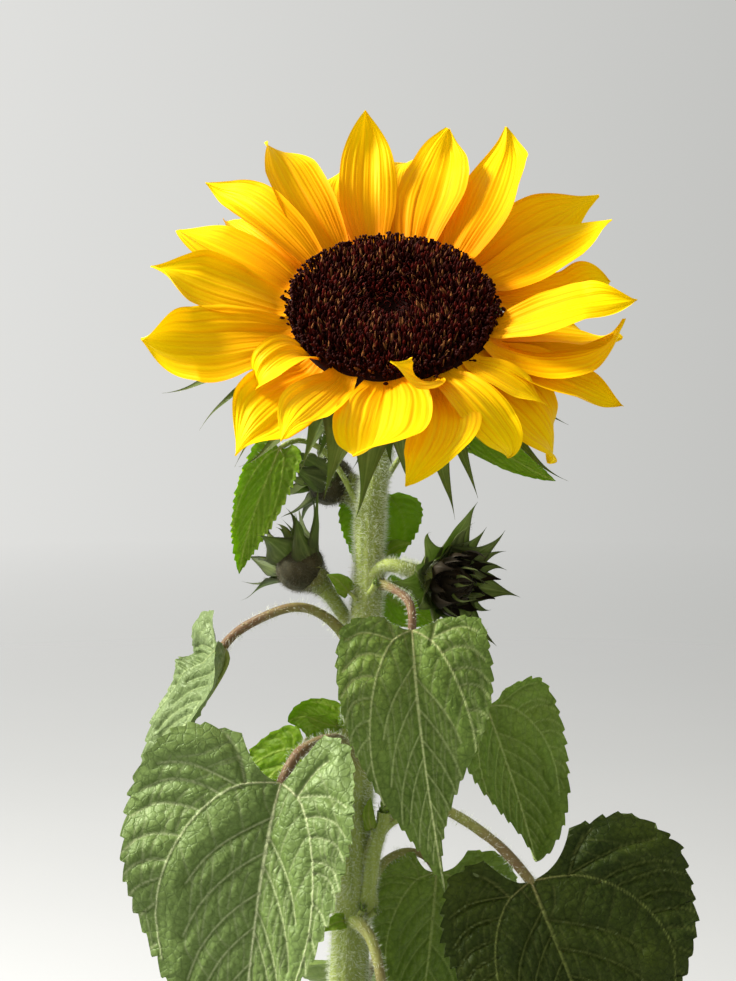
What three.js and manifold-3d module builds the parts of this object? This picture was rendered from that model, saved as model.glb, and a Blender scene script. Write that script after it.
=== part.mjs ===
// Sunflower plant in flower: one main stem with a root flare, stalked heart-shaped leaves,
// three closed side buds on stalks and one open flower head that leans towards -Y.
// Millimetres, +Z up, the centre of the flat cut foot at the origin.
import * as THREE from "three";
import { mergeVertices } from "three/addons/utils/BufferGeometryUtils.js";
import Module from "manifold-3d";

const wasm = await Module();
wasm.setup();

// ---- sizes ----
const GAP = 0.3; // air left between neighbouring solids
const LEAF_THICK = 1.6;
const RAY_THICK = 1.2;
const BRACT_THICK = 1.4;
const HEAD_CENTRE = [15.8, -24.0, 548.6]; // middle of the flower disc
const HEAD_TILT = 50; // degrees of the flower's axis above the horizon
const DISC_RADIUS = 38.1;
const DISC_BACK = -5.7;
const DISC_PROFILE = [[0, DISC_BACK], [DISC_RADIUS - 0.8, DISC_BACK], [DISC_RADIUS, -4.6], [DISC_RADIUS, 1.2], [36.2, 3.6], [29, 6.0], [17, 6.2], [8, 5.0], [0, 4.2]];
const RECEPTACLE_PROFILE = [[0, -24], [7.2, -24], [15, -20.6], [25, -15.6], [33, -11.2], [36.9, -8.2], [36.9, -6.3], [0, -6.3]];
const RAY_ROW_RADIUS = [38.8, 39.2]; // where the upper and the lower row of petals start
const RAY_ROW_HEIGHT = [-1.0, -4.5];
const RAY_CUP = 16; // degrees
const BRACT_ROW_RADIUS = [33.0, 30.5];
const BRACT_ROW_HEIGHT = [-9.0, -11.2];
const BRACT_CUP = 22;
const STEM_RADII = [[0, 12.6], [5, 11.0], [14, 9.9], [40, 9.2], [120, 8.6], [285, 7.5], [345, 6.5], [375, 5.8], [440, 5.3], [500, 4.9], [518, 5.2], [530, 6.6]]; // height, radius
const FLARE_RIDGES = 5; // buttress ridges of the root flare
const NECK_DEPTH = 3.2; // how far the neck goes on from the line's end, into the back of the head

// Heights and centre points of the stem's line.
const STEM_LINE = [
  [0.0,0.0,0.0],
  [0.4,0.2,30.0],
  [0.2,0.4,90.0],
  [-0.9,0.5,160.0],
  [-1.2,0.3,230.0],
  [-0.7,0.0,286.0],
  [1.6,0.0,338.0],
  [3.0,0.0,374.0],
  [4.6,0.0,414.0],
  [6.5,0.0,438.0],
  [7.4,1.2,461.0],
  [9.3,5.4,483.5],
  [12.4,8.2,502.0],
  [15.0,4.0,518.0],
  [15.8,-6.2,529.3],
];

// Petals: azimuth, lift at base, lift at tip, sideways turn, length, width, roll at base, roll gained, row.
const PETALS = [
  [100.6,11.4,24.2,-25.2,61.8,19.7,-1.8,-3.6,0],
  [75.4,12.8,14.0,-2.6,60.3,24.9,-7.5,-15.0,0],
  [51.3,22.9,4.3,36.7,67.3,25.3,-8.9,-17.7,0],
  [42.5,5.6,6.2,-3.5,67.0,21.3,15.2,30.4,1],
  [25.9,-7.6,34.4,12.1,56.7,22.8,-0.5,-1.1,0],
  [13.6,-2.4,2.2,12.4,49.2,20.4,-5.0,-9.9,1],
  [-14.7,40.1,6.3,19.6,56.0,19.6,-1.0,-2.1,0],
  [-8.5,12.9,-11.1,10.4,46.5,21.4,-7.5,-15.1,1],
  [-23.1,-10.3,12.4,47.8,53.6,24.9,-5.9,-11.9,0],
  [-28.8,6.8,-29.8,17.0,55.1,21.0,-5.2,-10.4,1],
  [-42.1,2.6,-64.9,6.8,51.5,25.5,-5.6,-11.1,0],
  [-44.0,15.8,-34.9,21.6,35.4,13.5,-4.6,-9.3,0],
  [-62.0,33.3,-68.0,24.0,49.6,15.9,-0.4,-0.8,0],
  [-68.0,16.4,-4.8,-65.3,56.8,22.3,7.5,15.0,1],
  [-72.0,45.0,40.0,-150.0,26.0,15.0,0.0,0.0,0],
  [-92.2,23.3,-13.9,-13.9,46.0,29.8,7.9,15.8,0],
  [-117.3,14.5,18.9,1.1,48.5,18.3,-2.8,-5.5,0],
  [-140.4,71.1,-77.8,-6.0,32.8,15.5,-0.2,-0.4,0],
  [-131.8,10.7,-31.5,-11.7,46.0,26.6,-5.9,-11.7,1],
  [-159.9,13.5,-2.3,-17.1,56.4,26.5,-8.5,-17.1,0],
  [176.5,14.5,23.4,-11.3,53.3,24.9,-0.9,-1.8,0],
  [154.6,24.8,-9.4,-6.6,55.6,19.0,-1.3,-2.6,1],
  [136.2,32.8,-17.5,-2.2,63.1,16.2,-6.9,-13.7,0],
  [140.7,21.6,-27.7,-28.8,61.3,12.6,-10.9,-21.7,1],
  [122.3,27.4,9.3,-9.6,65.3,19.9,-0.8,-1.6,0],
  [110.9,14.4,-11.8,-21.1,54.7,14.7,3.0,6.0,1],
  [87.8,19.6,-4.6,-3.8,59.6,13.4,-1.6,-3.1,1],
  [63.7,13.1,-6.3,24.0,54.3,15.2,-4.4,-8.9,1],
];

// Green bracts behind the petals: azimuth, lift at base, lift at tip, sideways turn, length, width, row.
const BRACTS = [
  [-166.2,-8.8,-11.7,1.1,54.2,12,0],
  [-159.8,-12.9,-17.7,-1.2,49.4,11,1],
  [171.7,7.4,8.7,-0.2,45.7,11,0],
  [149.4,21.5,27.5,-1.7,50.9,11,1],
  [-135.8,-30.1,-36.8,0.2,45.0,12,0],
  [-145.5,-23.0,-30.5,0.3,47.8,9,1],
  [-113.6,-43.6,-55.1,-0.9,41.6,17,0],
  [-100.6,-46.3,-53.1,-1.0,46.6,15,1],
  [-70.5,-43.4,-50.9,2.7,47.5,13,0],
  [-60.5,-38.9,-47.7,3.5,43.4,12,1],
  [-85.1,-53.8,-65.4,0.4,32.5,15,0],
  [-126.6,-37.6,-50.1,-1.6,35.9,14,1],
  [-23.1,-9.3,-12.8,7.3,51.0,12,0],
  [-30.0,-16.6,-22.4,9.6,43.2,12,1],
  [-43.4,-27.7,-31.8,6.2,54.3,12,0],
  [-24.0,-12.0,-24.0,0.0,32.0,12,1],
  [-8.0,-8.0,-18.0,0.0,32.0,12,0],
  [8.0,-6.0,-14.0,0.0,32.0,12,1],
  [24.0,-6.0,-12.0,0.0,32.0,12,0],
  [40.0,-4.0,-10.0,0.0,32.0,12,1],
  [56.0,-4.0,-10.0,0.0,32.0,12,0],
  [74.0,-4.0,-10.0,0.0,32.0,12,1],
  [92.0,-4.0,-10.0,0.0,32.0,12,0],
  [112.0,-4.0,-10.0,0.0,32.0,12,1],
  [132.0,-4.0,-10.0,0.0,32.0,12,0],
];

// Leaves on stalks: midrib through four points, stalk through five, stalk radii, width and the rest of the blade's form.
const BIG_LEAVES = {
  front_left: {"mid":[[-25.1,-45.0,376.3],[-31.9,-54.0,345.3],[-36.5,-59.0,309.3],[-42.7,-58.0,267.3]],"pet":[[2.7,-5.0,369.5],[0.0,-14.0,381.1],[-6.6,-28.0,389.3],[-18.3,-40.0,386.8],[-25.1,-45.0,376.3]],"rad":[2.5,1.9],"W":84,"sides":[1.28,0.82],"n0":[0.08,-0.93,0.42],"n1":[-0.02,-1,0.1],"fold":[5,36],"curl":[-16,-10],"back":0.006,"wave":[2.6,2.3,0.1],"lobe":[0.95,1.5],"taper":[1.0,1.0],"sinus":[1.1,0.1]},
  centre: {"mid":[[23.2,-38.0,432.2],[25.6,-47.0,402.2],[29.8,-45.0,369.9],[35.8,-36.0,331.9]],"pet":[[11.6,-3.0,444.5],[16.8,-15.0,444.0],[21.5,-28.0,442.2],[23.2,-35.0,437.7],[23.2,-38.0,432.2]],"rad":[1.9,1.5],"W":56,"sides":[1.04,1.02],"n0":[0.0,-0.9,0.5],"n1":[0.1,-1,-0.05],"fold":[20,22],"curl":[-20,-18],"back":0.004,"wave":[2.2,2.1,0.3],"lobe":[0.35,0.2],"taper":[1.35,2.6],"sinus":[1.1,1.1]},
  mid_right: {"mid":[[54.9,36.0,388.1],[62.1,38.0,368.5],[69.6,37.0,346.2],[75.6,33.0,323.9]],"pet":[[7.7,4.0,396.4],[23.5,14.0,403.2],[39.8,26.0,403.2],[50.3,34.0,396.3],[54.9,36.0,388.1]],"rad":[2.2,1.6],"W":58,"sides":[0.7,0.97],"n0":[0.02,-0.95,0.3],"n1":[0.1,-1,0.1],"fold":[28,-4],"curl":[10,-14],"back":0.002,"wave":[2.0,2.2,0.6],"lobe":[-0.5,0.4],"taper":[1.6,0.62],"sinus":[1.1,1.1]},
  lower_right: {"mid":[[68.9,-25.0,333.3],[79.0,-34.0,309.2],[90.4,-40.0,280.3],[102.9,-40.0,245.2]],"pet":[[6.9,-4.0,334.6],[14.7,-8.0,353.2],[30.8,-12.0,359.8],[53.5,-20.0,348.6],[68.9,-25.0,333.3]],"rad":[2.5,1.9],"W":100,"sides":[0.8,1.2],"n0":[0.0,-0.85,0.6],"n1":[0.1,-1,0.25],"fold":[6,2],"curl":[-12,-10],"back":0.003,"wave":[2.4,2.2,0.15],"lobe":[1.1,1.1],"taper":[1.0,1.0],"sinus":[1.1,1.1]},
  lower_centre: {"mid":[[34.1,14.0,325.3],[32.7,17.0,302.6],[30.0,20.0,276.6],[26.1,22.0,252.0]],"pet":[[6.9,4.0,321.8],[13.3,8.0,331.1],[21.7,12.0,334.4],[29.3,13.0,332.1],[34.1,14.0,325.3]],"rad":[1.9,1.5],"W":60,"sides":[0.86,1.14],"n0":[0.05,-0.9,0.5],"n1":[0.1,-1,0.1],"fold":[8,-2],"curl":[-10,-10],"back":0.002,"wave":[1.8,2.2,0.5],"lobe":[1.0,1.0],"taper":[1.0,1.0],"sinus":[1.1,1.1]},
  left: {"mid":[[-49.7,-6.0,420.4],[-55.4,-8.0,403.6],[-67.8,-5.0,384.1],[-86.8,5.0,348.1]],"pet":[[2.7,-2.0,418.1],[-9.6,-8.0,432.4],[-22.1,-12.0,436.6],[-39.4,-10.0,429.3],[-49.7,-6.0,420.4]],"rad":[2.2,1.7],"W":56,"sides":[1.0,0.8],"n0":[-0.84,-0.28,0.45],"n1":[-0.74,-0.6,0.3],"fold":[10,24],"curl":[-6,-8],"back":0.003,"wave":[2.2,2.3,0.2],"lobe":[1.3,0.15],"taper":[1.0,1.0],"sinus":[1.1,1.1]},
  behind_left: {"mid":[[-20.1,16.0,372.9],[-36.6,24.0,357.8],[-53.6,30.0,338.1],[-70.7,32.0,317.5]],"pet":[[3.0,5.0,372.2],[-4.1,9.0,380.9],[-11.3,13.0,382.8],[-16.1,15.0,379.2],[-20.1,16.0,372.9]],"rad":[2.0,1.6],"W":62,"sides":[0.45,1.0],"n0":[-0.2,-0.85,0.5],"n1":[-0.3,-0.95,0.2],"fold":[4,4],"curl":[-12,-12],"back":0.003,"wave":[2.0,2.2,0.7],"lobe":[0.4,0.4],"taper":[1.0,1.0],"sinus":[1.1,1.1]},
};

const SMALL_LEAVES = {
  upper_left: {"mid":[[-26.8,-2.0,496.6],[-33.9,0.0,479.4],[-39.5,2.0,463.3],[-43.1,2.0,447.2]],"pet":[[6.2,6.0,465.9],[-2.0,8.0,483.3],[-9.7,6.0,494.4],[-19.2,2.0,499.3],[-26.8,-2.0,496.6]],"rad":[1.3,1.0],"W":20,"sides":[1,1],"n0":[0.1,-0.9,0.4],"n1":[0,-1,0.1],"fold":[10,10],"curl":[-6,-6],"back":0.0,"wave":[0.8,2,0.2],"lobe":[0.5,0.5],"taper":[1.0,1.0],"sinus":[1.1,1.1]},
  upper_back: {"mid":[[13.2,20.0,476.9],[11.3,26.0,465.1],[8.9,29.0,453.0],[4.9,29.0,440.1]],"pet":[[6.9,6.0,461.6],[10.1,10.0,468.9],[12.0,15.0,474.7],[13.2,20.0,476.9]],"rad":[1.2,1.0],"W":33,"sides":[1,1],"n0":[0.05,-0.9,0.45],"n1":[0.0,-1,0.1],"fold":[6,6],"curl":[-6,-6],"back":0.0,"wave":[0.8,2,0.2],"lobe":[0.5,0.5],"taper":[1.0,1.0],"sinus":[1.1,1.1]},
  upper_right: {"mid":[[37.4,4.0,505.0],[50.8,2.0,499.0],[65.2,-2.0,490.8],[78.7,-6.0,484.3]],"pet":[[8.1,9.0,472.2],[15.2,15.0,484.9],[23.0,14.0,496.0],[29.8,8.0,502.7],[37.4,4.0,505.0]],"rad":[1.2,0.9],"W":15,"sides":[1,1],"n0":[0.0,-0.8,0.6],"n1":[0.1,-1,0.2],"fold":[8,8],"curl":[-6,-6],"back":0.0,"wave":[0.6,2,0.2],"lobe":[0.3,0.3],"taper":[1.0,1.0],"sinus":[1.1,1.1]},
  bud_leaf: {"mid":[[13.2,12.0,437.9],[19.2,16.0,433.2],[26.3,18.0,428.9],[34.7,18.0,424.1]],"pet":[[6.2,5.0,432.6],[9.3,9.0,436.7],[13.2,12.0,437.9]],"rad":[1.1,0.9],"W":19,"sides":[1,1],"n0":[0.0,-0.8,0.6],"n1":[0.1,-1,0.2],"fold":[8,8],"curl":[-6,-6],"back":0.0,"wave":[0.5,2,0.2],"lobe":[0.3,0.3],"taper":[1.0,1.0],"sinus":[1.1,1.1]},
  axil_left: {"mid":[[-2.1,6.0,381.2],[-8.8,9.0,386.1],[-16.4,12.0,388.7],[-24.8,14.0,386.3]],"pet":[[3.8,3.0,379.5],[0.7,5.0,379.4],[-2.1,6.0,381.2]],"rad":[1.2,1.0],"W":20,"sides":[1,1],"n0":[0.0,-0.9,0.4],"n1":[-0.1,-0.95,0.2],"fold":[8,8],"curl":[-6,-6],"back":0.0,"wave":[0.6,2,0.2],"lobe":[0.4,0.4],"taper":[0.75,0.75],"sinus":[1.1,1.1]},
  under: {"mid":[[13.7,-40.0,280.3],[15.0,-58.0,240.0],[17.0,-70.0,209.0],[16.0,-74.0,176.0]],"pet":[[1.5,-6.0,312.0],[5.4,-15.0,311.6],[9.2,-24.0,306.7],[12.2,-34.0,295.6],[13.7,-40.0,280.3]],"rad":[2.3,1.7],"W":78,"sides":[1,1],"n0":[0.05,-0.75,0.65],"n1":[0,-0.97,0.25],"fold":[4,4],"curl":[-12,-12],"back":0.003,"wave":[2.2,2.2,0.4],"lobe":[1.0,1.0],"taper":[1.0,1.0],"sinus":[1.1,1.1]},
};

// Closed side buds: centre, radius, axis, stalk and the bracts round them.
const BUDS = {
  right: {"c":[37.2,-8.0,445.6],"r":10.5,"axis":[0.7,-0.7,0.0],"stalk":[[8.5,-2.0,446.3],[13.1,-5.0,451.4],[19.9,-8.0,451.4],[28.4,-8.0,448.3],[31.4,-8.0,447.2]],"bracts":[[68.9,26.1,8.6,2.7,25.3],[39.8,49.5,35.2,3.1,25.4],[31.9,56.3,35.0,0.6,21.9],[20.5,63.6,39.2,-3.1,20.6],[-12.0,62.4,51.5,-3.6,26.7],[-64.6,50.5,38.8,-1.4,27.0],[-128.0,79.3,49.0,-2.4,18.3],[-184.2,21.4,-19.5,-1.4,19.8]]},
  left: {"c":[-19.5,4.0,449.7],"r":9.0,"axis":[-0.6,0.22,0.77],"stalk":[[3.0,2.0,421.3],[-2.0,4.0,429.7],[-7.1,5.0,437.4],[-12.5,5.0,443.7],[-16.4,4.0,447.0]],"bracts":[[119.4,60.9,52.6,-0.2,27.8],[96.3,51.6,42.0,1.9,27.3],[-186.5,66.6,54.0,-2.0,23.3],[155.8,66.6,54.9,1.8,24.0],[-127.3,45.9,36.7,-2.1,28.3],[-115.7,28.1,10.3,1.3,23.5],[-93.3,26.2,-6.5,-1.1,19.0],[57.2,71.0,38.7,-1.0,16.4]]},
  back: {"c":[-8.1,20.0,481.7],"r":9.0,"axis":[-0.82,-0.12,0.42],"stalk":[[6.9,5.0,455.4],[6.1,11.0,464.1],[3.0,16.0,473.0],[-1.3,19.0,479.0],[-4.1,20.0,480.5]],"bracts":[[-112.5,22.8,-19.6,2.6,16.6],[-89.1,54.3,19.7,0.3,16.1],[-5.0,70.8,55.6,-1.5,20.6],[17.6,75.1,64.6,-3.4,23.5],[66.6,66.4,46.6,2.1,19.0],[-182.3,56.4,22.7,-0.8,16.2]]},
};

// Lower leaves, one turn of the leaf spiral apart: azimuth from -Y towards +X, height on the stem, length, width.
const LOWER = { first_azimuth: 167, turn: 137.5, heights: [262, 219, 176, 132, 92], lengths: [112, 108, 102, 92, 80], widths: [88, 86, 80, 72, 62] };

// ---- vectors ----
const add = (a, b, s = 1) => [a[0] + b[0] * s, a[1] + b[1] * s, a[2] + b[2] * s];
const mul = (a, s) => [a[0] * s, a[1] * s, a[2] * s];
const dot = (a, b) => a[0] * b[0] + a[1] * b[1] + a[2] * b[2];
const cross = (a, b) => [a[1] * b[2] - a[2] * b[1], a[2] * b[0] - a[0] * b[2], a[0] * b[1] - a[1] * b[0]];
const unit = (a) => mul(a, 1 / Math.hypot(...a));
const rad = (d) => (d * Math.PI) / 180;
const clip = (x, a, b) => Math.min(b, Math.max(a, x));

// Smooth line through evenly spaced values.
function through(tab, t) {
  const n = tab.length - 1, x = clip(t, 0, 1) * n, i = Math.min(Math.floor(x), n - 1), f = x - i;
  const at = (k) => (k < 0 ? 2 * tab[0] - tab[1] : k > n ? 2 * tab[n] - tab[n - 1] : tab[k]);
  const [p0, p1, p2, p3] = [at(i - 1), at(i), at(i + 1), at(i + 2)];
  return 0.5 * (2 * p1 + (p2 - p0) * f + (2 * p0 - 5 * p1 + 4 * p2 - p3) * f * f + (3 * p1 - p0 - 3 * p2 + p3) * f ** 3);
}
function piecewise(rows, z) {
  for (let i = 1; i < rows.length; i++)
    if (z <= rows[i][0]) return rows[i - 1][1] + ((rows[i][1] - rows[i - 1][1]) * (z - rows[i - 1][0])) / (rows[i][0] - rows[i - 1][0]);
  return rows[rows.length - 1][1];
}

// ---- heart-shaped leaf blade ----
const MARGIN_X = [0.36, 0.74, 0.96, 1.0, 0.93, 0.77, 0.56, 0.33, 0.14, 0.0]; // half width
const MARGIN_Y = [-0.125, -0.1, 0.05, 0.22, 0.4, 0.57, 0.72, 0.85, 0.94, 1.0]; // along the length
function bezier(q) {
  const c = (w) => [0, 1, 2].map((k) => w.reduce((s, wi, i) => s + wi * q[i][k], 0));
  return [q[0], c([-5 / 6, 3, -1.5, 1 / 3]), c([1 / 3, -1.5, 3, -5 / 6]), q[3]];
}
const bezierPoint = (b, t) => { const m = 1 - t; return [0, 1, 2].map((k) => m ** 3 * b[0][k] + 3 * m * m * t * b[1][k] + 3 * m * t * t * b[2][k] + t ** 3 * b[3][k]); };
const bezierSlope = (b, t) => { const m = 1 - t; return [0, 1, 2].map((k) => 3 * m * m * (b[1][k] - b[0][k]) + 6 * m * t * (b[2][k] - b[1][k]) + 3 * t * t * (b[3][k] - b[2][k])); };
function bladeSurface(leaf) {
  const b = bezier(leaf.mid);
  let length = 0;
  for (let i = 0; i < 24; i++) length += Math.hypot(...add(bezierPoint(b, (i + 1) / 24), bezierPoint(b, i / 24), -1));
  const surface = (u, v, grow = 0) => {
    const t = clip(u, 0, 1) ** 0.85, a = Math.abs(v), right = v >= 0;
    let xm = through(MARGIN_X, t);
    if (t > 0.33) xm = clip(xm, 0, 1) ** leaf.taper[right ? 1 : 0];
    xm = Math.max(xm, 0.02);
    let ym = through(MARGIN_Y, t);
    if (ym < 0) ym *= leaf.lobe[right ? 1 : 0];
    const w = leaf.W / 2;
    const x = xm * a * w * leaf.sides[right ? 1 : 0] + grow * a;
    const y = u + (ym - u) * a ** (1.25 + leaf.sinus[right ? 1 : 0] * Math.min(1, Math.max(0, 1 - u / 0.12)));
    const yc = clip(y, 0, 1);
    let p = bezierPoint(b, yc);
    const along = unit(bezierSlope(b, yc));
    let n = add(leaf.n0, add(leaf.n1, leaf.n0, -1), yc);
    const side = unit(cross(n, along));
    n = cross(along, side);
    const ext = (y - yc) * length;
    p = add(add(p, along, ext), n, -leaf.back * Math.min(ext, 0) ** 2);
    const s = right ? 1 : -1, k = right ? 1 : 0;
    const ang = rad(leaf.fold[k] + leaf.curl[k] * Math.min(x / w, 1.3) * 0.5);
    const wave = leaf.wave[0] * Math.sin(2 * Math.PI * (leaf.wave[1] * y + leaf.wave[2]) + (right ? 0 : 1.7)) * (x / w) ** 2;
    return add(add(p, side, s * x * Math.cos(ang)), n, x * Math.sin(ang) + wave);
  };
  surface.span = length;
  return surface;
}

// ---- petals and bracts ----
const rayShape = (s) => (0.5 + 0.5 * Math.sin((Math.PI / 2) * Math.min(1, s / 0.5))) * (1 - clip((s - 0.5) / 0.5, 0, 1) ** 2.3) ** 0.85;
const bractShape = (s) => (0.62 + 0.38 * Math.sin((Math.PI / 2) * Math.min(1, s / 0.28))) * (s > 0.28 ? 1 - ((s - 0.28) / 0.72) ** 1.35 : 1) * 0.97 + 0.03;
function raySurface({ frame, centre, radius, height, phi, lift0, lift1, yaw, length, width, roll0 = 0, roll = 0, cup, shape }, steps = 24) {
  const [n, e1, e2] = frame;
  const at = (s) => {
    const lift = rad(lift0 + (lift1 - lift0) * s), az = rad(phi + yaw * s), ro = rad(roll0 + roll * s);
    const er = add(mul(e1, Math.cos(az)), e2, Math.sin(az)), ea = add(mul(e1, -Math.sin(az)), e2, Math.cos(az));
    const t = add(mul(er, Math.cos(lift)), n, Math.sin(lift)), up = cross(t, ea);
    return { t, side: add(mul(ea, Math.cos(ro)), up, Math.sin(ro)), up: add(mul(ea, -Math.sin(ro)), up, Math.cos(ro)) };
  };
  const line = [add(add(add(centre, e1, radius * Math.cos(rad(phi))), e2, radius * Math.sin(rad(phi))), n, height)];
  for (let i = 0; i < steps; i++) line.push(add(line[i], at((i + 0.5) / steps).t, length / steps));
  const surface = (u, v, grow = 0) => {
    const x = u * steps, i = clip(Math.floor(x), 0, steps - 1), f = x - i;
    const p = add(line[i], add(line[i + 1], line[i], -1), f), { side, up } = at(clip(u, 0, 1));
    const w = Math.max((width / 2) * shape(clip(u, 0, 1)), 0.45) + grow, c = rad(cup) * Math.abs(v);
    return add(add(p, side, w * v * Math.cos(c)), up, w * Math.abs(v) * Math.sin(c));
  };
  surface.span = length;
  return surface;
}

// ---- solids ----
// A closed mesh as a manifold solid, turned right side out.
function solid(geometry) {
  const g = mergeVertices(new THREE.BufferGeometry().setAttribute("position", geometry.getAttribute("position")).setIndex(geometry.index), 1e-4);
  const idx = g.index.array, tri = [];
  for (let i = 0; i < idx.length; i += 3) if (idx[i] !== idx[i + 1] && idx[i + 1] !== idx[i + 2] && idx[i] !== idx[i + 2]) tri.push(idx[i], idx[i + 1], idx[i + 2]);
  const make = (t) => new wasm.Manifold(new wasm.Mesh({ numProp: 3, vertProperties: new Float32Array(g.attributes.position.array), triVerts: new Uint32Array(t) }));
  const m = make(tri);
  if (m.volume() >= 0) return m;
  for (let i = 0; i < tri.length; i += 3) [tri[i + 1], tri[i + 2]] = [tri[i + 2], tri[i + 1]];
  return make(tri);
}
// A thin blade: a box bent onto the surface, half its thickness to each side.
function sheet(surface, nu, nv, thick, grow = 0) {
  const g = new THREE.BoxGeometry(1, 1, 1, nv, nu, 1), pos = g.getAttribute("position"), d = 1e-3;
  for (let i = 0; i < pos.count; i++) {
    const e = (1.3 * grow) / surface.span;
    const u = (pos.getY(i) + 0.5) * (1 + 2 * e) - e, v = 2 * pos.getX(i), z = Math.sign(pos.getZ(i));
    const uc = clip(u, 0.01, 0.985), vc = clip(v, -0.98, 0.98);
    const du = add(surface(uc + d, vc, grow), surface(uc - d, vc, grow), -1), dv = add(surface(uc, vc + d, grow), surface(uc, vc - d, grow), -1);
    const n = unit(cross(du, dv));
    pos.setXYZ(i, ...add(surface(u, v, grow), n, z * thick / 2));
  }
  return solid(g);
}
// A tapering limb along a smooth line.
function limb(points, radius, segments, sides, ends = [0, 0], foot = false) {
  const curve = new THREE.CatmullRomCurve3(points.map((p) => new THREE.Vector3(...p)), false, "catmullrom", 0.5);
  const frames = curve.computeFrenetFrames(segments, false);
  const g = new THREE.CylinderGeometry(1, 1, 1, sides, segments), pos = g.getAttribute("position");
  for (let i = 0; i < pos.count; i++) {
    const k = Math.round((pos.getY(i) + 0.5) * segments), t = k / segments;
    const at = curve.getPointAt(t), r = radius(t, at, Math.atan2(pos.getZ(i), pos.getX(i)));
    let p = [at.x, at.y, at.z];
    const tangent = frames.tangents[k].toArray();
    if (k === 0) p = add(p, tangent, -ends[0]);
    if (k === segments) p = add(p, tangent, ends[1]);
    p = add(add(p, frames.normals[k].toArray(), pos.getX(i) * r), frames.binormals[k].toArray(), pos.getZ(i) * r);
    if (foot && k === 0) p[2] = points[0][2];
    pos.setXYZ(i, ...p);
  }
  return solid(g);
}
const axisFrame = (axis) => { const n = unit(axis), e1 = unit(cross([0, 0, 1], n)); return [n, e1, cross(n, e1)]; };
function frameMatrix(frame, centre) {
  return new THREE.Matrix4().makeBasis(new THREE.Vector3(...frame[1]), new THREE.Vector3(...frame[2]), new THREE.Vector3(...frame[0])).setPosition(...centre);
}
// A turned body, its axis along the frame's first direction.
function turned(profile, segments, frame, centre, grow = 0) {
  const pts = profile.map(([r, h], i) => {
    const mid = (profile[0][1] + profile[profile.length - 1][1]) / 2;
    return new THREE.Vector2(r === 0 ? 0 : r + grow, h + Math.sign(h - mid) * grow);
  });
  const g = new THREE.LatheGeometry(pts, segments).rotateX(Math.PI / 2);
  g.applyMatrix4(frameMatrix(frame, centre));
  return solid(g);
}

const headFrame = axisFrame([0, -Math.cos(rad(HEAD_TILT)), Math.sin(rad(HEAD_TILT))]);

const items = []; // in order: each is cut back from those before it
const put = (name, group, colour, make) => items.push({ name, group, colour, body: make(0), cutter: make(GAP) });
const GREEN = "#6d8f3f", STALK = "#93a860", YELLOW = "#f2c318", BROWN = "#35160f", DEEP = "#4d6b2f";

// main stem: flat cut foot, ridged root flare, taper, slight lean and the bent neck
const stemRadius = (t, at, angle) => {
  const r = piecewise(STEM_RADII, at.z), flare = clip(1 - at.z / 14, 0, 1);
  return r * (1 + 0.14 * flare * Math.cos(FLARE_RIDGES * angle));
};
put("stem", "shoot", STALK, (grow) => limb(STEM_LINE, (t, at, angle) => stemRadius(t, at, angle) + grow, 22, 10, [grow, grow + NECK_DEPTH], !grow));

// the brown disc
put("disc", "head", BROWN, (grow) => turned(DISC_PROFILE, 20, headFrame, HEAD_CENTRE, grow));

// leaf stalks
const stalk = (leaf, grow, sides = 6, segments = 6) => limb(leaf.pet, (t) => leaf.rad[0] + (leaf.rad[1] - leaf.rad[0]) * t + grow, segments, sides, [0, 0]);
for (const [name, leaf] of Object.entries(BIG_LEAVES)) put("petiole_" + name, "foliage", STALK, (grow) => stalk(leaf, grow));

// side buds: round body, stalk and the pointed bracts, one solid each
for (const [name, bud] of Object.entries(BUDS)) {
  const frame = axisFrame(bud.axis), r = bud.r;
  put("bud_" + name, "buds", DEEP, (grow) => {
    const g = new THREE.SphereGeometry(1, 10, 6).rotateX(Math.PI / 2).scale(r + grow, r + grow, 0.92 * r + grow).applyMatrix4(frameMatrix(frame, bud.c));
    let body = solid(g).add(limb(bud.stalk, (t) => 2.0 + 1.1 * t * t + grow, 6, 6, [0, 2]));
    for (const [phi, lift0, lift1, yaw, length] of bud.bracts)
      body = body.add(sheet(raySurface({ frame, centre: bud.c, radius: 0.72 * r, height: -0.5 * r, phi, lift0, lift1, yaw, length, width: 12, cup: 20, shape: bractShape }), 3, 1, 1.5 + 2 * grow, grow));
    return body;
  });
}

// petals
PETALS.forEach(([phi, lift0, lift1, yaw, length, width, roll0, roll, row], i) => {
  const surface = raySurface({ frame: headFrame, centre: HEAD_CENTRE, radius: RAY_ROW_RADIUS[row], height: RAY_ROW_HEIGHT[row], phi, lift0, lift1, yaw, length, width, roll0, roll, cup: RAY_CUP, shape: rayShape });
  put("petal_" + String(i + 1).padStart(2, "0"), "head", YELLOW, (grow) => sheet(surface, 6, 2, RAY_THICK + 2 * grow, grow));
});

// leaf blades
for (const [name, leaf] of Object.entries(BIG_LEAVES)) {
  const surface = bladeSurface(leaf);
  put("leaf_" + name, "foliage", GREEN, (grow) => sheet(surface, 7, 4, LEAF_THICK + 2 * grow, grow));
}
// small leaves and the leaf under the side shoot, stalk and blade in one
for (const [name, leaf] of Object.entries(SMALL_LEAVES)) {
  const surface = bladeSurface(leaf), big = leaf.W > 40;
  put("leaf_" + name, "foliage", GREEN, (grow) => sheet(surface, big ? 6 : 4, big ? 4 : 2, (big ? LEAF_THICK : 1.2) + 2 * grow, grow).add(stalk(leaf, grow, 5, 5)));
}
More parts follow.
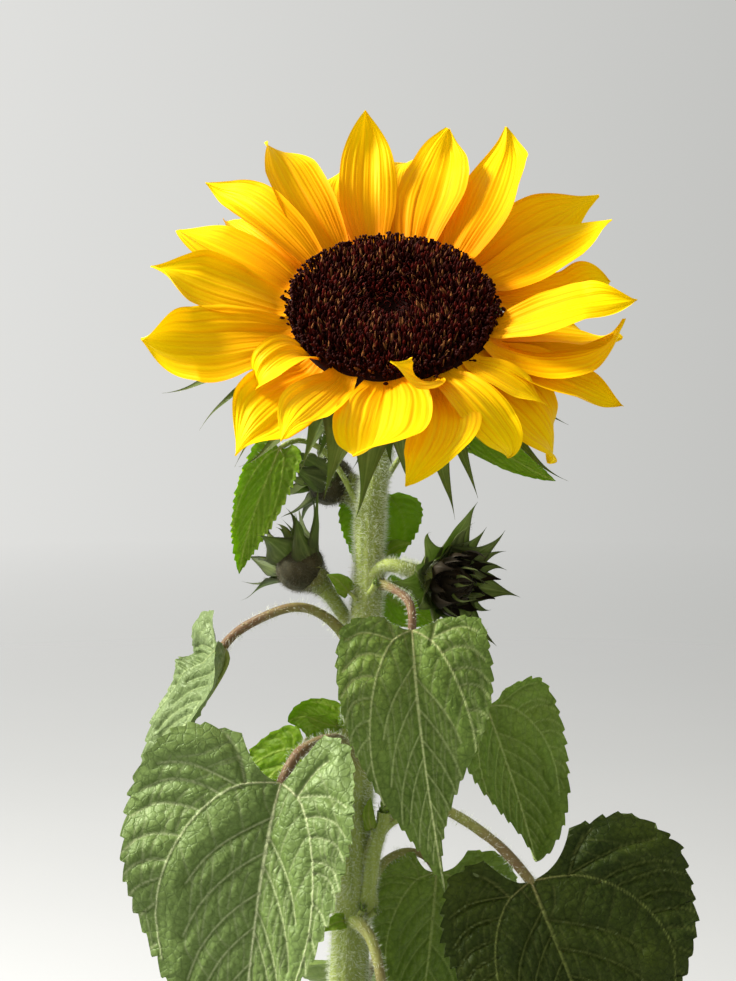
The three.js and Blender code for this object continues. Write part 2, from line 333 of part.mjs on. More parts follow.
// lower leaves round the stem
function lowerLeaf(k) {
  const az = rad(LOWER.first_azimuth + LOWER.turn * k), d = [Math.sin(az), -Math.cos(az), 0];
  const z = LOWER.heights[k], L = LOWER.lengths[k];
  const at = (out, up) => [d[0] * out, d[1] * out, z + up];
  const base = [60, 8];
  return {
    pet: [at(2, -3), at(15, 10), at(32, 17), at(48, 15), at(...base)],
    mid: [at(...base), at(base[0] + 0.29 * L, base[1] - 0.14 * L), at(base[0] + 0.54 * L, base[1] - 0.36 * L), at(base[0] + 0.7 * L, base[1] - 0.66 * L)],
    rad: [2.6, 1.9], W: LOWER.widths[k], sides: [1, 1], n0: [d[0] * 0.35, d[1] * 0.35, 0.94], n1: [d[0] * 0.85, d[1] * 0.85, 0.5],
    fold: [6, 6], curl: [-14, -14], back: 0.003, wave: [2.4, 2.2, 0.13 * k], lobe: [1.1, 1.1], taper: [1, 1], sinus: [1.1, 1.1],
  };
}
LOWER.heights.forEach((_, k) => {
  const leaf = lowerLeaf(k), surface = bladeSurface(leaf);
  put("leaf_lower_" + (k + 1), "foliage", GREEN, (grow) => sheet(surface, 6, 4, LEAF_THICK + 2 * grow, grow).add(stalk(leaf, grow, 5, 5)));
});

// receptacle with its ring of bracts, last of all
put("receptacle", "head", DEEP, (grow) => {
  if (grow) return null;
  let body = turned(RECEPTACLE_PROFILE, 16, headFrame, HEAD_CENTRE);
  for (const [phi, lift0, lift1, yaw, length, width, row] of BRACTS)
    body = body.add(sheet(raySurface({ frame: headFrame, centre: HEAD_CENTRE, radius: BRACT_ROW_RADIUS[row], height: BRACT_ROW_HEIGHT[row], phi, lift0, lift1, yaw, length, width, cup: BRACT_CUP, shape: bractShape }), 4, 1, BRACT_THICK));
  return body;
});

// ---- cut each solid back from its earlier neighbours and keep its main body ----
const meets = (a, b) => [0, 1, 2].every((k) => a.min[k] <= b.max[k] && b.min[k] <= a.max[k]);
function mainBody(m) {
  const parts = m.decompose();
  return parts.length < 2 ? m : parts.reduce((a, b) => (b.volume() > a.volume() ? b : a));
}
const root = new THREE.Group();
root.name = "sunflower_plant";
const groups = {};
for (const name of ["shoot", "foliage", "buds", "head"]) {
  groups[name] = new THREE.Group();
  groups[name].name = name + "_group";
  root.add(groups[name]);
}
const headMatrix = frameMatrix(headFrame, HEAD_CENTRE);
headMatrix.decompose(groups.head.position, groups.head.quaternion, groups.head.scale);
const headInverse = headMatrix.clone().invert();
items.forEach((item, i) => {
  let body = item.body;
  const before = body.volume();
  for (let j = 0; j < i; j++) {
    const cutter = items[j].cutter;
    if (cutter && meets(body.boundingBox(), cutter.boundingBox())) body = body.subtract(cutter);
  }
  body = mainBody(body);
  item.kept = body.volume() / before;
  const mesh = body.getMesh();
  const g = new THREE.BufferGeometry();
  const xyz = new Float32Array((mesh.vertProperties.length / mesh.numProp) * 3);
  for (let v = 0; v < xyz.length / 3; v++) for (let k = 0; k < 3; k++) xyz[3 * v + k] = mesh.vertProperties[v * mesh.numProp + k];
  g.setAttribute("position", new THREE.BufferAttribute(xyz, 3));
  g.setIndex(new THREE.BufferAttribute(new Uint32Array(mesh.triVerts), 1));
  if (item.group === "head") g.applyMatrix4(headInverse);
  g.computeVertexNormals();
  const node = new THREE.Mesh(g, new THREE.MeshStandardMaterial({ color: item.colour, roughness: 0.75, side: THREE.FrontSide }));
  node.name = item.name;
  node.userData.kept = item.kept;
  groups[item.group].add(node);
});

export default root;
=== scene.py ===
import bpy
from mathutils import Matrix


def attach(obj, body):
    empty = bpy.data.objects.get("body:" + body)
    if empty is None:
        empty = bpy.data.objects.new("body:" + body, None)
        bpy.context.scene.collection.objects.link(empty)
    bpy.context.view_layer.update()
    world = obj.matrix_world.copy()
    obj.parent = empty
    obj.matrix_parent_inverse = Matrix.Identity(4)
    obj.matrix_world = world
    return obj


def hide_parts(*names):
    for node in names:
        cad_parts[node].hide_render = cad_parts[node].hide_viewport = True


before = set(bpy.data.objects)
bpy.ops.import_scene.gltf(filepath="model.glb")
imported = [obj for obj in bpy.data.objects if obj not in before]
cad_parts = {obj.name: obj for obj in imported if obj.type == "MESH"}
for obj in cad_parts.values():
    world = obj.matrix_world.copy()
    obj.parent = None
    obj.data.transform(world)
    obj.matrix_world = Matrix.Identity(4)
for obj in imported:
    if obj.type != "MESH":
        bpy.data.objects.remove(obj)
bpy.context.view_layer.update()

import math

import bpy
import numpy as np
from mathutils import Vector

RNG = np.random.default_rng(71)
MM = 0.001
TAU = 2 * math.pi

# ------------------------------------------------------------------ sizes (mm, degrees)
HEAD_CENTRE = np.array([15.8, -24.0, 548.6])
HEAD_TILT = 50.0
DISC_R = 38.1
DOME = [(0, 4.2), (8, 5.0), (17, 6.2), (29, 6.0), (36.2, 3.6), (38.1, 1.2)]
RECEPTACLE_PROFILE = [(0, -24), (7.2, -24), (15, -20.6), (25, -15.6), (33, -11.2), (36.9, -8.2), (36.9, -6.3)]
RAY_ROW_RADIUS = [38.3, 38.8]
RAY_ROW_HEIGHT = [-1.0, -4.5]
BRACT_ROW_RADIUS = [33.0, 30.5]
BRACT_ROW_HEIGHT = [-9.0, -11.2]
STEM_RADII = [(0, 12.6), (5, 11.0), (14, 9.9), (40, 9.2), (120, 8.6), (285, 7.5), (345, 6.5), (375, 5.8), (440, 5.3), (500, 4.9), (518, 5.2), (530, 6.6)]
# Heights and centre points of the stem's line.
STEM_LINE = [
    [0.0, 0.0, 0.0],
    [0.4, 0.2, 30.0],
    [0.2, 0.4, 90.0],
    [-0.9, 0.5, 160.0],
    [-1.2, 0.3, 230.0],
    [-0.7, 0.0, 286.0],
    [1.6, 0.0, 338.0],
    [3.0, 0.0, 374.0],
    [4.6, 0.0, 414.0],
    [6.5, 0.0, 438.0],
    [7.4, 1.2, 461.0],
    [9.3, 5.4, 483.5],
    [12.4, 8.2, 502.0],
    [15.0, 4.0, 518.0],
    [15.8, -6.2, 529.3],
]
# Petals: azimuth, lift at base, lift at tip, sideways turn, length, width, roll at base, roll gained, row.
PETALS = [
    [100.6, 11.4, 24.2, -25.2, 61.8, 19.7, -1.8, -3.6, 0],
    [75.4, 12.8, 14.0, -2.6, 60.3, 24.9, -7.5, -15.0, 0],
    [51.3, 22.9, 4.3, 36.7, 67.3, 25.3, -8.9, -17.7, 0],
    [42.5, 5.6, 6.2, -3.5, 67.0, 21.3, 15.2, 30.4, 1],
    [25.9, -7.6, 34.4, 12.1, 56.7, 22.8, -0.5, -1.1, 0],
    [13.6, -2.4, 2.2, 12.4, 49.2, 20.4, -5.0, -9.9, 1],
    [-14.7, 40.1, 6.3, 19.6, 56.0, 19.6, -1.0, -2.1, 0],
    [-8.5, 12.9, -11.1, 10.4, 46.5, 21.4, -7.5, -15.1, 1],
    [-23.1, -10.3, 12.4, 47.8, 53.6, 24.9, -5.9, -11.9, 0],
    [-28.8, 6.8, -29.8, 17.0, 55.1, 21.0, -5.2, -10.4, 1],
    [-42.1, 2.6, -64.9, 6.8, 51.5, 25.5, -5.6, -11.1, 0],
    [-44.0, 15.8, -34.9, 21.6, 35.4, 13.5, -4.6, -9.3, 0],
    [-62.0, 33.3, -68.0, 24.0, 49.6, 15.9, -0.4, -0.8, 0],
    [-68.0, 16.4, -4.8, -65.3, 56.8, 22.3, 7.5, 15.0, 1],
    [-72.0, 45.0, 40.0, -150.0, 26.0, 15.0, 0.0, 0.0, 0],
    [-92.2, 23.3, -13.9, -13.9, 46.0, 29.8, 7.9, 15.8, 0],
    [-117.3, 14.5, 18.9, 1.1, 48.5, 18.3, -2.8, -5.5, 0],
    [-140.4, 71.1, -77.8, -6.0, 32.8, 15.5, -0.2, -0.4, 0],
    [-131.8, 10.7, -31.5, -11.7, 46.0, 26.6, -5.9, -11.7, 1],
    [-159.9, 13.5, -2.3, -17.1, 56.4, 26.5, -8.5, -17.1, 0],
    [176.5, 14.5, 23.4, -11.3, 53.3, 24.9, -0.9, -1.8, 0],
    [154.6, 24.8, -9.4, -6.6, 55.6, 19.0, -1.3, -2.6, 1],
    [136.2, 32.8, -17.5, -2.2, 63.1, 16.2, -6.9, -13.7, 0],
    [140.7, 21.6, -27.7, -28.8, 61.3, 12.6, -10.9, -21.7, 1],
    [122.3, 27.4, 9.3, -9.6, 65.3, 19.9, -0.8, -1.6, 0],
    [110.9, 14.4, -11.8, -21.1, 54.7, 14.7, 3.0, 6.0, 1],
    [87.8, 19.6, -4.6, -3.8, 59.6, 13.4, -1.6, -3.1, 1],
    [63.7, 13.1, -6.3, 24.0, 54.3, 15.2, -4.4, -8.9, 1],
]
# Bracts behind the petals: azimuth, lift at base, lift at tip, sideways turn, length, width, row.
BRACTS = [
    [-166.2, -8.8, -11.7, 1.1, 54.2, 12, 0],
    [-159.8, -12.9, -17.7, -1.2, 49.4, 11, 1],
    [171.7, 7.4, 8.7, -0.2, 45.7, 11, 0],
    [149.4, 21.5, 27.5, -1.7, 50.9, 11, 1],
    [-135.8, -30.1, -36.8, 0.2, 45.0, 12, 0],
    [-145.5, -23.0, -30.5, 0.3, 47.8, 9, 1],
    [-113.6, -43.6, -55.1, -0.9, 41.6, 17, 0],
    [-100.6, -46.3, -53.1, -1.0, 46.6, 15, 1],
    [-70.5, -43.4, -50.9, 2.7, 47.5, 13, 0],
    [-60.5, -38.9, -47.7, 3.5, 43.4, 12, 1],
    [-85.1, -53.8, -65.4, 0.4, 32.5, 15, 0],
    [-126.6, -37.6, -50.1, -1.6, 35.9, 14, 1],
    [-23.1, -9.3, -12.8, 7.3, 51.0, 12, 0],
    [-30.0, -16.6, -22.4, 9.6, 43.2, 12, 1],
    [-43.4, -27.7, -31.8, 6.2, 54.3, 12, 0],
    [-24.0, -12.0, -24.0, 0.0, 32.0, 12, 1],
    [-8.0, -8.0, -18.0, 0.0, 32.0, 12, 0],
    [8.0, -6.0, -14.0, 0.0, 32.0, 12, 1],
    [24.0, -6.0, -12.0, 0.0, 32.0, 12, 0],
    [40.0, -4.0, -10.0, 0.0, 32.0, 12, 1],
    [56.0, -4.0, -10.0, 0.0, 32.0, 12, 0],
    [74.0, -4.0, -10.0, 0.0, 32.0, 12, 1],
    [92.0, -4.0, -10.0, 0.0, 32.0, 12, 0],
    [112.0, -4.0, -10.0, 0.0, 32.0, 12, 1],
    [132.0, -4.0, -10.0, 0.0, 32.0, 12, 0],
]
# Leaves on stalks: midrib through four points, stalk, stalk radii, width and the rest of the blade.
BIG_LEAVES = {
    "front_left": {"mid": [[-25.1, -45.0, 376.3], [-31.9, -54.0, 345.3], [-36.5, -59.0, 309.3], [-42.7, -58.0, 267.3]], "pet": [[2.7, -5.0, 369.5], [0.0, -14.0, 381.1], [-6.6, -28.0, 389.3], [-18.3, -40.0, 386.8], [-25.1, -45.0, 376.3]], "rad": [2.5, 1.9], "W": 84, "sides": [1.28, 0.82], "n0": [0.08, -0.93, 0.42], "n1": [-0.02, -1, 0.1], "fold": [5, 36], "curl": [-16, -10], "back": 0.006, "wave": [2.6, 2.3, 0.1], "lobe": [0.95, 1.5], "taper": [1.0, 1.0], "sinus": [1.1, 0.1]},
    "centre": {"mid": [[23.2, -38.0, 432.2], [25.6, -47.0, 402.2], [29.8, -45.0, 369.9], [35.8, -36.0, 331.9]], "pet": [[11.6, -3.0, 444.5], [16.8, -15.0, 444.0], [21.5, -28.0, 442.2], [23.2, -35.0, 437.7], [23.2, -38.0, 432.2]], "rad": [1.9, 1.5], "W": 56, "sides": [1.04, 1.02], "n0": [0.0, -0.9, 0.5], "n1": [0.1, -1, -0.05], "fold": [20, 22], "curl": [-20, -18], "back": 0.004, "wave": [2.2, 2.1, 0.3], "lobe": [0.35, 0.2], "taper": [1.35, 2.6], "sinus": [1.1, 1.1]},
    "mid_right": {"mid": [[54.9, 36.0, 388.1], [62.1, 38.0, 368.5], [69.6, 37.0, 346.2], [75.6, 33.0, 323.9]], "pet": [[7.7, 4.0, 396.4], [23.5, 14.0, 403.2], [39.8, 26.0, 403.2], [50.3, 34.0, 396.3], [54.9, 36.0, 388.1]], "rad": [2.2, 1.6], "W": 58, "sides": [0.7, 0.97], "n0": [0.02, -0.95, 0.3], "n1": [0.1, -1, 0.1], "fold": [28, -4], "curl": [10, -14], "back": 0.002, "wave": [2.0, 2.2, 0.6], "lobe": [-0.5, 0.4], "taper": [1.6, 0.62], "sinus": [1.1, 1.1]},
    "lower_right": {"mid": [[68.9, -25.0, 333.3], [79.0, -34.0, 309.2], [90.4, -40.0, 280.3], [102.9, -40.0, 245.2]], "pet": [[6.9, -4.0, 334.6], [14.7, -8.0, 353.2], [30.8, -12.0, 359.8], [53.5, -20.0, 348.6], [68.9, -25.0, 333.3]], "rad": [2.5, 1.9], "W": 100, "sides": [0.8, 1.2], "n0": [0.0, -0.85, 0.6], "n1": [0.1, -1, 0.25], "fold": [6, 2], "curl": [-12, -10], "back": 0.003, "wave": [2.4, 2.2, 0.15], "lobe": [1.1, 1.1], "taper": [1.0, 1.0], "sinus": [1.1, 1.1]},
    "lower_centre": {"mid": [[34.1, 14.0, 325.3], [32.7, 17.0, 302.6], [30.0, 20.0, 276.6], [26.1, 22.0, 252.0]], "pet": [[6.9, 4.0, 321.8], [13.3, 8.0, 331.1], [21.7, 12.0, 334.4], [29.3, 13.0, 332.1], [34.1, 14.0, 325.3]], "rad": [1.9, 1.5], "W": 60, "sides": [0.86, 1.14], "n0": [0.05, -0.9, 0.5], "n1": [0.1, -1, 0.1], "fold": [8, -2], "curl": [-10, -10], "back": 0.002, "wave": [1.8, 2.2, 0.5], "lobe": [1.0, 1.0], "taper": [1.0, 1.0], "sinus": [1.1, 1.1]},
    "left": {"mid": [[-49.7, -6.0, 420.4], [-55.4, -8.0, 403.6], [-67.8, -5.0, 384.1], [-86.8, 5.0, 348.1]], "pet": [[2.7, -2.0, 418.1], [-9.6, -8.0, 432.4], [-22.1, -12.0, 436.6], [-39.4, -10.0, 429.3], [-49.7, -6.0, 420.4]], "rad": [2.2, 1.7], "W": 56, "sides": [1.0, 0.8], "n0": [-0.84, -0.28, 0.45], "n1": [-0.74, -0.6, 0.3], "fold": [10, 24], "curl": [-6, -8], "back": 0.003, "wave": [2.2, 2.3, 0.2], "lobe": [1.3, 0.15], "taper": [1.0, 1.0], "sinus": [1.1, 1.1]},
    "behind_left": {"mid": [[-20.1, 16.0, 372.9], [-36.6, 24.0, 357.8], [-53.6, 30.0, 338.1], [-70.7, 32.0, 317.5]], "pet": [[3.0, 5.0, 372.2], [-4.1, 9.0, 380.9], [-11.3, 13.0, 382.8], [-16.1, 15.0, 379.2], [-20.1, 16.0, 372.9]], "rad": [2.0, 1.6], "W": 62, "sides": [0.45, 1.0], "n0": [-0.2, -0.85, 0.5], "n1": [-0.3, -0.95, 0.2], "fold": [4, 4], "curl": [-12, -12], "back": 0.003, "wave": [2.0, 2.2, 0.7], "lobe": [0.4, 0.4], "taper": [1.0, 1.0], "sinus": [1.1, 1.1]},
}
SMALL_LEAVES = {
    "upper_left": {"mid": [[-26.8, -2.0, 496.6], [-33.9, 0.0, 479.4], [-39.5, 2.0, 463.3], [-43.1, 2.0, 447.2]], "pet": [[6.2, 6.0, 465.9], [-2.0, 8.0, 483.3], [-9.7, 6.0, 494.4], [-19.2, 2.0, 499.3], [-26.8, -2.0, 496.6]], "rad": [1.3, 1.0], "W": 20, "sides": [1, 1], "n0": [0.1, -0.9, 0.4], "n1": [0, -1, 0.1], "fold": [10, 10], "curl": [-6, -6], "back": 0.0, "wave": [0.8, 2, 0.2], "lobe": [0.5, 0.5], "taper": [1.0, 1.0], "sinus": [1.1, 1.1]},
    "upper_back": {"mid": [[13.2, 20.0, 476.9], [11.3, 26.0, 465.1], [8.9, 29.0, 453.0], [4.9, 29.0, 440.1]], "pet": [[6.9, 6.0, 461.6], [10.1, 10.0, 468.9], [12.0, 15.0, 474.7], [13.2, 20.0, 476.9]], "rad": [1.2, 1.0], "W": 33, "sides": [1, 1], "n0": [0.05, -0.9, 0.45], "n1": [0.0, -1, 0.1], "fold": [6, 6], "curl": [-6, -6], "back": 0.0, "wave": [0.8, 2, 0.2], "lobe": [0.5, 0.5], "taper": [1.0, 1.0], "sinus": [1.1, 1.1]},
    "upper_right": {"mid": [[37.4, 4.0, 505.0], [50.8, 2.0, 499.0], [65.2, -2.0, 490.8], [78.7, -6.0, 484.3]], "pet": [[8.1, 9.0, 472.2], [15.2, 15.0, 484.9], [23.0, 14.0, 496.0], [29.8, 8.0, 502.7], [37.4, 4.0, 505.0]], "rad": [1.2, 0.9], "W": 15, "sides": [1, 1], "n0": [0.0, -0.8, 0.6], "n1": [0.1, -1, 0.2], "fold": [8, 8], "curl": [-6, -6], "back": 0.0, "wave": [0.6, 2, 0.2], "lobe": [0.3, 0.3], "taper": [1.0, 1.0], "sinus": [1.1, 1.1]},
    "bud_leaf": {"mid": [[13.2, 12.0, 437.9], [19.2, 16.0, 433.2], [26.3, 18.0, 428.9], [34.7, 18.0, 424.1]], "pet": [[6.2, 5.0, 432.6], [9.3, 9.0, 436.7], [13.2, 12.0, 437.9]], "rad": [1.1, 0.9], "W": 19, "sides": [1, 1], "n0": [0.0, -0.8, 0.6], "n1": [0.1, -1, 0.2], "fold": [8, 8], "curl": [-6, -6], "back": 0.0, "wave": [0.5, 2, 0.2], "lobe": [0.3, 0.3], "taper": [1.0, 1.0], "sinus": [1.1, 1.1]},
    "axil_left": {"mid": [[-2.1, 6.0, 381.2], [-8.8, 9.0, 386.1], [-16.4, 12.0, 388.7], [-24.8, 14.0, 386.3]], "pet": [[3.8, 3.0, 379.5], [0.7, 5.0, 379.4], [-2.1, 6.0, 381.2]], "rad": [1.2, 1.0], "W": 20, "sides": [1, 1], "n0": [0.0, -0.9, 0.4], "n1": [-0.1, -0.95, 0.2], "fold": [8, 8], "curl": [-6, -6], "back": 0.0, "wave": [0.6, 2, 0.2], "lobe": [0.4, 0.4], "taper": [0.75, 0.75], "sinus": [1.1, 1.1]},
    "under": {"mid": [[13.7, -40.0, 280.3], [15.0, -58.0, 240.0], [17.0, -70.0, 209.0], [16.0, -74.0, 176.0]], "pet": [[1.5, -6.0, 312.0], [5.4, -15.0, 311.6], [9.2, -24.0, 306.7], [12.2, -34.0, 295.6], [13.7, -40.0, 280.3]], "rad": [2.3, 1.7], "W": 78, "sides": [1, 1], "n0": [0.05, -0.75, 0.65], "n1": [0, -0.97, 0.25], "fold": [4, 4], "curl": [-12, -12], "back": 0.003, "wave": [2.2, 2.2, 0.4], "lobe": [1.0, 1.0], "taper": [1.0, 1.0], "sinus": [1.1, 1.1]},
}
# Side buds: centre, radius, axis, stalk and the bracts round them.
BUDS = {
    "right": {"c": [37.2, -8.0, 445.6], "r": 10.5, "axis": [0.7, -0.7, 0.0], "stalk": [[8.5, -2.0, 446.3], [13.1, -5.0, 451.4], [19.9, -8.0, 451.4], [28.4, -8.0, 448.3], [31.4, -8.0, 447.2]], "bracts": [[68.9, 26.1, 8.6, 2.7, 25.3], [39.8, 49.5, 35.2, 3.1, 25.4], [31.9, 56.3, 35.0, 0.6, 21.9], [20.5, 63.6, 39.2, -3.1, 20.6], [-12.0, 62.4, 51.5, -3.6, 26.7], [-64.6, 50.5, 38.8, -1.4, 27.0], [-128.0, 79.3, 49.0, -2.4, 18.3], [-184.2, 21.4, -19.5, -1.4, 19.8]]},
    "left": {"c": [-19.5, 4.0, 449.7], "r": 9.0, "axis": [-0.6, 0.22, 0.77], "stalk": [[3.0, 2.0, 421.3], [-2.0, 4.0, 429.7], [-7.1, 5.0, 437.4], [-12.5, 5.0, 443.7], [-16.4, 4.0, 447.0]], "bracts": [[119.4, 60.9, 52.6, -0.2, 27.8], [96.3, 51.6, 42.0, 1.9, 27.3], [-186.5, 66.6, 54.0, -2.0, 23.3], [155.8, 66.6, 54.9, 1.8, 24.0], [-127.3, 45.9, 36.7, -2.1, 28.3], [-115.7, 28.1, 10.3, 1.3, 23.5], [-93.3, 26.2, -6.5, -1.1, 19.0], [57.2, 71.0, 38.7, -1.0, 16.4]]},
    "back": {"c": [-8.1, 20.0, 481.7], "r": 9.0, "axis": [-0.82, -0.12, 0.42], "stalk": [[6.9, 5.0, 455.4], [6.1, 11.0, 464.1], [3.0, 16.0, 473.0], [-1.3, 19.0, 479.0], [-4.1, 20.0, 480.5]], "bracts": [[-112.5, 22.8, -19.6, 2.6, 16.6], [-89.1, 54.3, 19.7, 0.3, 16.1], [-5.0, 70.8, 55.6, -1.5, 20.6], [17.6, 75.1, 64.6, -3.4, 23.5], [66.6, 66.4, 46.6, 2.1, 19.0], [-182.3, 56.4, 22.7, -0.8, 16.2]]},
}
LOWER = dict(first_azimuth=167, turn=137.5, heights=[262, 219, 176, 132, 92], lengths=[112, 108, 102, 92, 80], widths=[88, 86, 80, 72, 62])
MARGIN_X = np.array([0.36, 0.74, 0.96, 1.0, 0.93, 0.77, 0.56, 0.33, 0.14, 0.0])
MARGIN_Y = np.array([-0.125, -0.1, 0.05, 0.22, 0.4, 0.57, 0.72, 0.85, 0.94, 1.0])


# ------------------------------------------------------------------ small maths
def unit(v):
    v = np.asarray(v, float)
    return v / np.maximum(np.linalg.norm(v, axis=-1, keepdims=True), 1e-12)


def through(tab, t):
    tab = np.asarray(tab, float)
    n = len(tab) - 1
    x = np.clip(t, 0, 1) * n
    i = np.minimum(x.astype(int), n - 1)
    f = x - i
    a = np.concatenate([[2 * tab[0] - tab[1]], tab, [2 * tab[-1] - tab[-2]]])
    p0, p1, p2, p3 = a[i], a[i + 1], a[i + 2], a[i + 3]
    if tab.ndim > 1:
        f = f[..., None]
    return 0.5 * (2 * p1 + (p2 - p0) * f + (2 * p0 - 5 * p1 + 4 * p2 - p3) * f * f + (3 * p1 - p0 - 3 * p2 + p3) * f**3)


def interp(rows, x):
    return np.interp(x, [r[0] for r in rows], [r[1] for r in rows])


def _hash(i, j, k, seed):
    h = (i.astype(np.int64) * 374761393 + j.astype(np.int64) * 668265263 + k.astype(np.int64) * 1442695041 + seed * 974711) & 0xFFFFFFFF
    h = ((h ^ (h >> 13)) * 1274126177) & 0xFFFFFFFF
    return ((h ^ (h >> 16)) & 0xFFFF) / 32767.5 - 1.0


def vnoise(p, size, seed=0):
    """Smooth noise from -1 to 1; size is the length of one cell."""
    q = np.asarray(p, float) / size
    i = np.floor(q).astype(np.int64)
    f = q - i
    f = f * f * (3 - 2 * f)
    out = 0
    for a in (0, 1):
        wa = f[..., 0] if a else 1 - f[..., 0]
        for b in (0, 1):
            wb = f[..., 1] if b else 1 - f[..., 1]
            for c in (0, 1):
                wc = f[..., 2] if c else 1 - f[..., 2]
                out = out + wa * wb * wc * _hash(i[..., 0] + a, i[..., 1] + b, i[..., 2] + c, seed)
    return out


def axis_frame(axis):
    n = unit(axis)
    e1 = unit(np.cross([0, 0, 1.0], n))
    return n, e1, np.cross(n, e1)


HEAD = axis_frame([0, -math.cos(math.radians(HEAD_TILT)), math.sin(math.radians(HEAD_TILT))])


def head_point(r, phi, h):
    """Points of the flower head from radius, azimuth (radians) and height."""
    n, e1, e2 = HEAD
    r, phi, h = np.broadcast_arrays(r, phi, h)
    return HEAD_CENTRE + (r * np.cos(phi))[..., None] * e1 + (r * np.sin(phi))[..., None] * e2 + h[..., None] * n


# ------------------------------------------------------------------ meshes
def grid_faces(nu, nv, start=0, flip=False):
    i, j = np.meshgrid(np.arange(nu - 1), np.arange(nv - 1), indexing="ij")
    a = (i * nv + j).ravel() + start
    q = np.stack([a, a + 1, a + nv + 1, a + nv], 1)
    return q[:, ::-1] if flip else q


def ring_faces(rings, sides, start=0):
    i, j = np.meshgrid(np.arange(rings - 1), np.arange(sides), indexing="ij")
    a = (i * sides + j).ravel()
    b = (i * sides + (j + 1) % sides).ravel()
    return np.stack([a, b, b + sides, a + sides], 1) + start


def make(name, verts, faces, mats, index=None, attrs=None, uv=None, smooth=True, node=None, slot=None):
    """A mesh piece. faces is a list of arrays of quads or triangles; index gives each array's material; uv is per vertex."""
    faces = [np.asarray(f, np.int32) for f in (faces if isinstance(faces, list) else [faces])]
    faces = [f for f in faces if len(f)]
    me = bpy.data.meshes.new(name)
    verts = np.asarray(verts, np.float64).reshape(-1, 3) * MM
    me.vertices.add(len(verts))
    me.vertices.foreach_set("co", verts.astype(np.float32).ravel())
    loops = np.concatenate([f.ravel() for f in faces])
    sizes = np.concatenate([np.full(len(f), f.shape[1]) for f in faces])
    me.loops.add(len(loops))
    me.loops.foreach_set("vertex_index", loops)
    me.polygons.add(len(sizes))
    me.polygons.foreach_set("loop_start", np.concatenate([[0], np.cumsum(sizes)[:-1]]).astype(np.int32))
    for m in mats if isinstance(mats, (list, tuple)) else [mats]:
        me.materials.append(m)
    if index is not None:
        me.polygons.foreach_set("material_index", np.concatenate([np.full(len(f), k) for f, k in zip(faces, index)]).astype(np.int32))
    for key, val in (attrs or {}).items():
        me.attributes.new(key, "FLOAT", "POINT").data.foreach_set("value", np.asarray(val, np.float32).ravel())
    if uv is not None:
        layer = me.uv_layers.new(name="OFBake")
        layer.data.foreach_set("uv", np.asarray(uv, np.float32).reshape(-1, 2)[loops].ravel())
    me.update(calc_edges=True)
    me.polygons.foreach_set("use_smooth", np.full(len(me.polygons), bool(smooth)))
    me.validate(clean_customdata=False)
    me.update()
    ob = bpy.data.objects.new(name, me)
    bpy.context.scene.collection.objects.link(ob)
    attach(ob, "root")
    if node:
        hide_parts(*([node] if isinstance(node, str) else node))
    return ob


class Joined:
    """Gathers many small shapes of one kind into one piece."""

    def __init__(self):
        self.v, self.f, self.a, self.uv, self.n = [], [], {}, [], 0

    def add(self, verts, faces, uv=None, **attrs):
        verts = np.asarray(verts, float).reshape(-1, 3)
        for f in faces if isinstance(faces, list) else [faces]:
            self.f.append(np.asarray(f) + self.n)
        self.v.append(verts)
        for k, val in attrs.items():
            self.a.setdefault(k, []).append(np.broadcast_to(np.asarray(val, float).ravel() if np.ndim(val) else float(val), (len(verts),)))
        if uv is not None:
            self.uv.append(np.asarray(uv, float).reshape(-1, 2))
        self.n += len(verts)

    def piece(self, name, mats, **kw):
        quads = [f for f in self.f if f.shape[1] == 4]
        tris = [f for f in self.f if f.shape[1] == 3]
        faces = ([np.concatenate(quads)] if quads else []) + ([np.concatenate(tris)] if tris else [])
        return make(name, np.concatenate(self.v), faces, mats, attrs={k: np.concatenate(v) for k, v in self.a.items()}, uv=np.concatenate(self.uv) if self.uv else None, **kw)


def normals_of(p):
    """Normals of a grid of points, (nu, nv, 3)."""
    du = np.gradient(p, axis=0)
    dv = np.gradient(p, axis=1)
    n = np.cross(du, dv)
    ln = np.linalg.norm(n, axis=-1, keepdims=True)
    bad = ln[..., 0] < 1e-9
    n = n / np.maximum(ln, 1e-9)
    if bad.any():
        n[bad] = n[~bad].mean(0)
    return n


def frames_for(d, rng=None):
    """A right-handed frame for each direction; d becomes its third axis."""
    d = unit(d)
    h = np.where(np.abs(d[:, 2:3]) < 0.9, [[0, 0, 1.0]], [[1.0, 0, 0]])
    a = unit(np.cross(h, d))
    b = np.cross(d, a)
    if rng is not None:
        w = rng.uniform(0, TAU, len(d))[:, None]
        a, b = np.cos(w) * a + np.sin(w) * b, -np.sin(w) * a + np.cos(w) * b
    return np.stack([a, b, d], 1)


def copies(tv, tf, at, fr, scale):
    """Copies of a small template: tv (m,3), at (n,3), fr (n,3,3), scale (n,3)."""
    v = np.einsum("nk,mk,nkc->nmc", scale, tv, fr) + at[:, None]
    f = (tf[None] + (np.arange(len(at)) * len(tv))[:, None, None]).reshape(-1, tf.shape[1])
    return v.reshape(-1, 3), f


def rod(profile, sides):
    """A little turned rod along z: profile of (radius, height), closed by a point at the top."""
    v, f = [], []
    for r, h in profile:
        for k in range(sides):
            v.append((r * math.cos(TAU * k / sides), r * math.sin(TAU * k / sides), h))
    n = len(profile)
    for i in range(n - 1):
        for k in range(sides):
            a, b = i * sides + k, i * sides + (k + 1) % sides
            f += [(a, b, b + sides), (a, b + sides, a + sides)]
    v.append((0, 0, profile[-1][1] + 0.4 * profile[-1][0]))
    for k in range(sides):
        f.append(((n - 1) * sides + k, (n - 1) * sides + (k + 1) % sides, n * sides))
    return np.array(v, float), np.array(f, int)


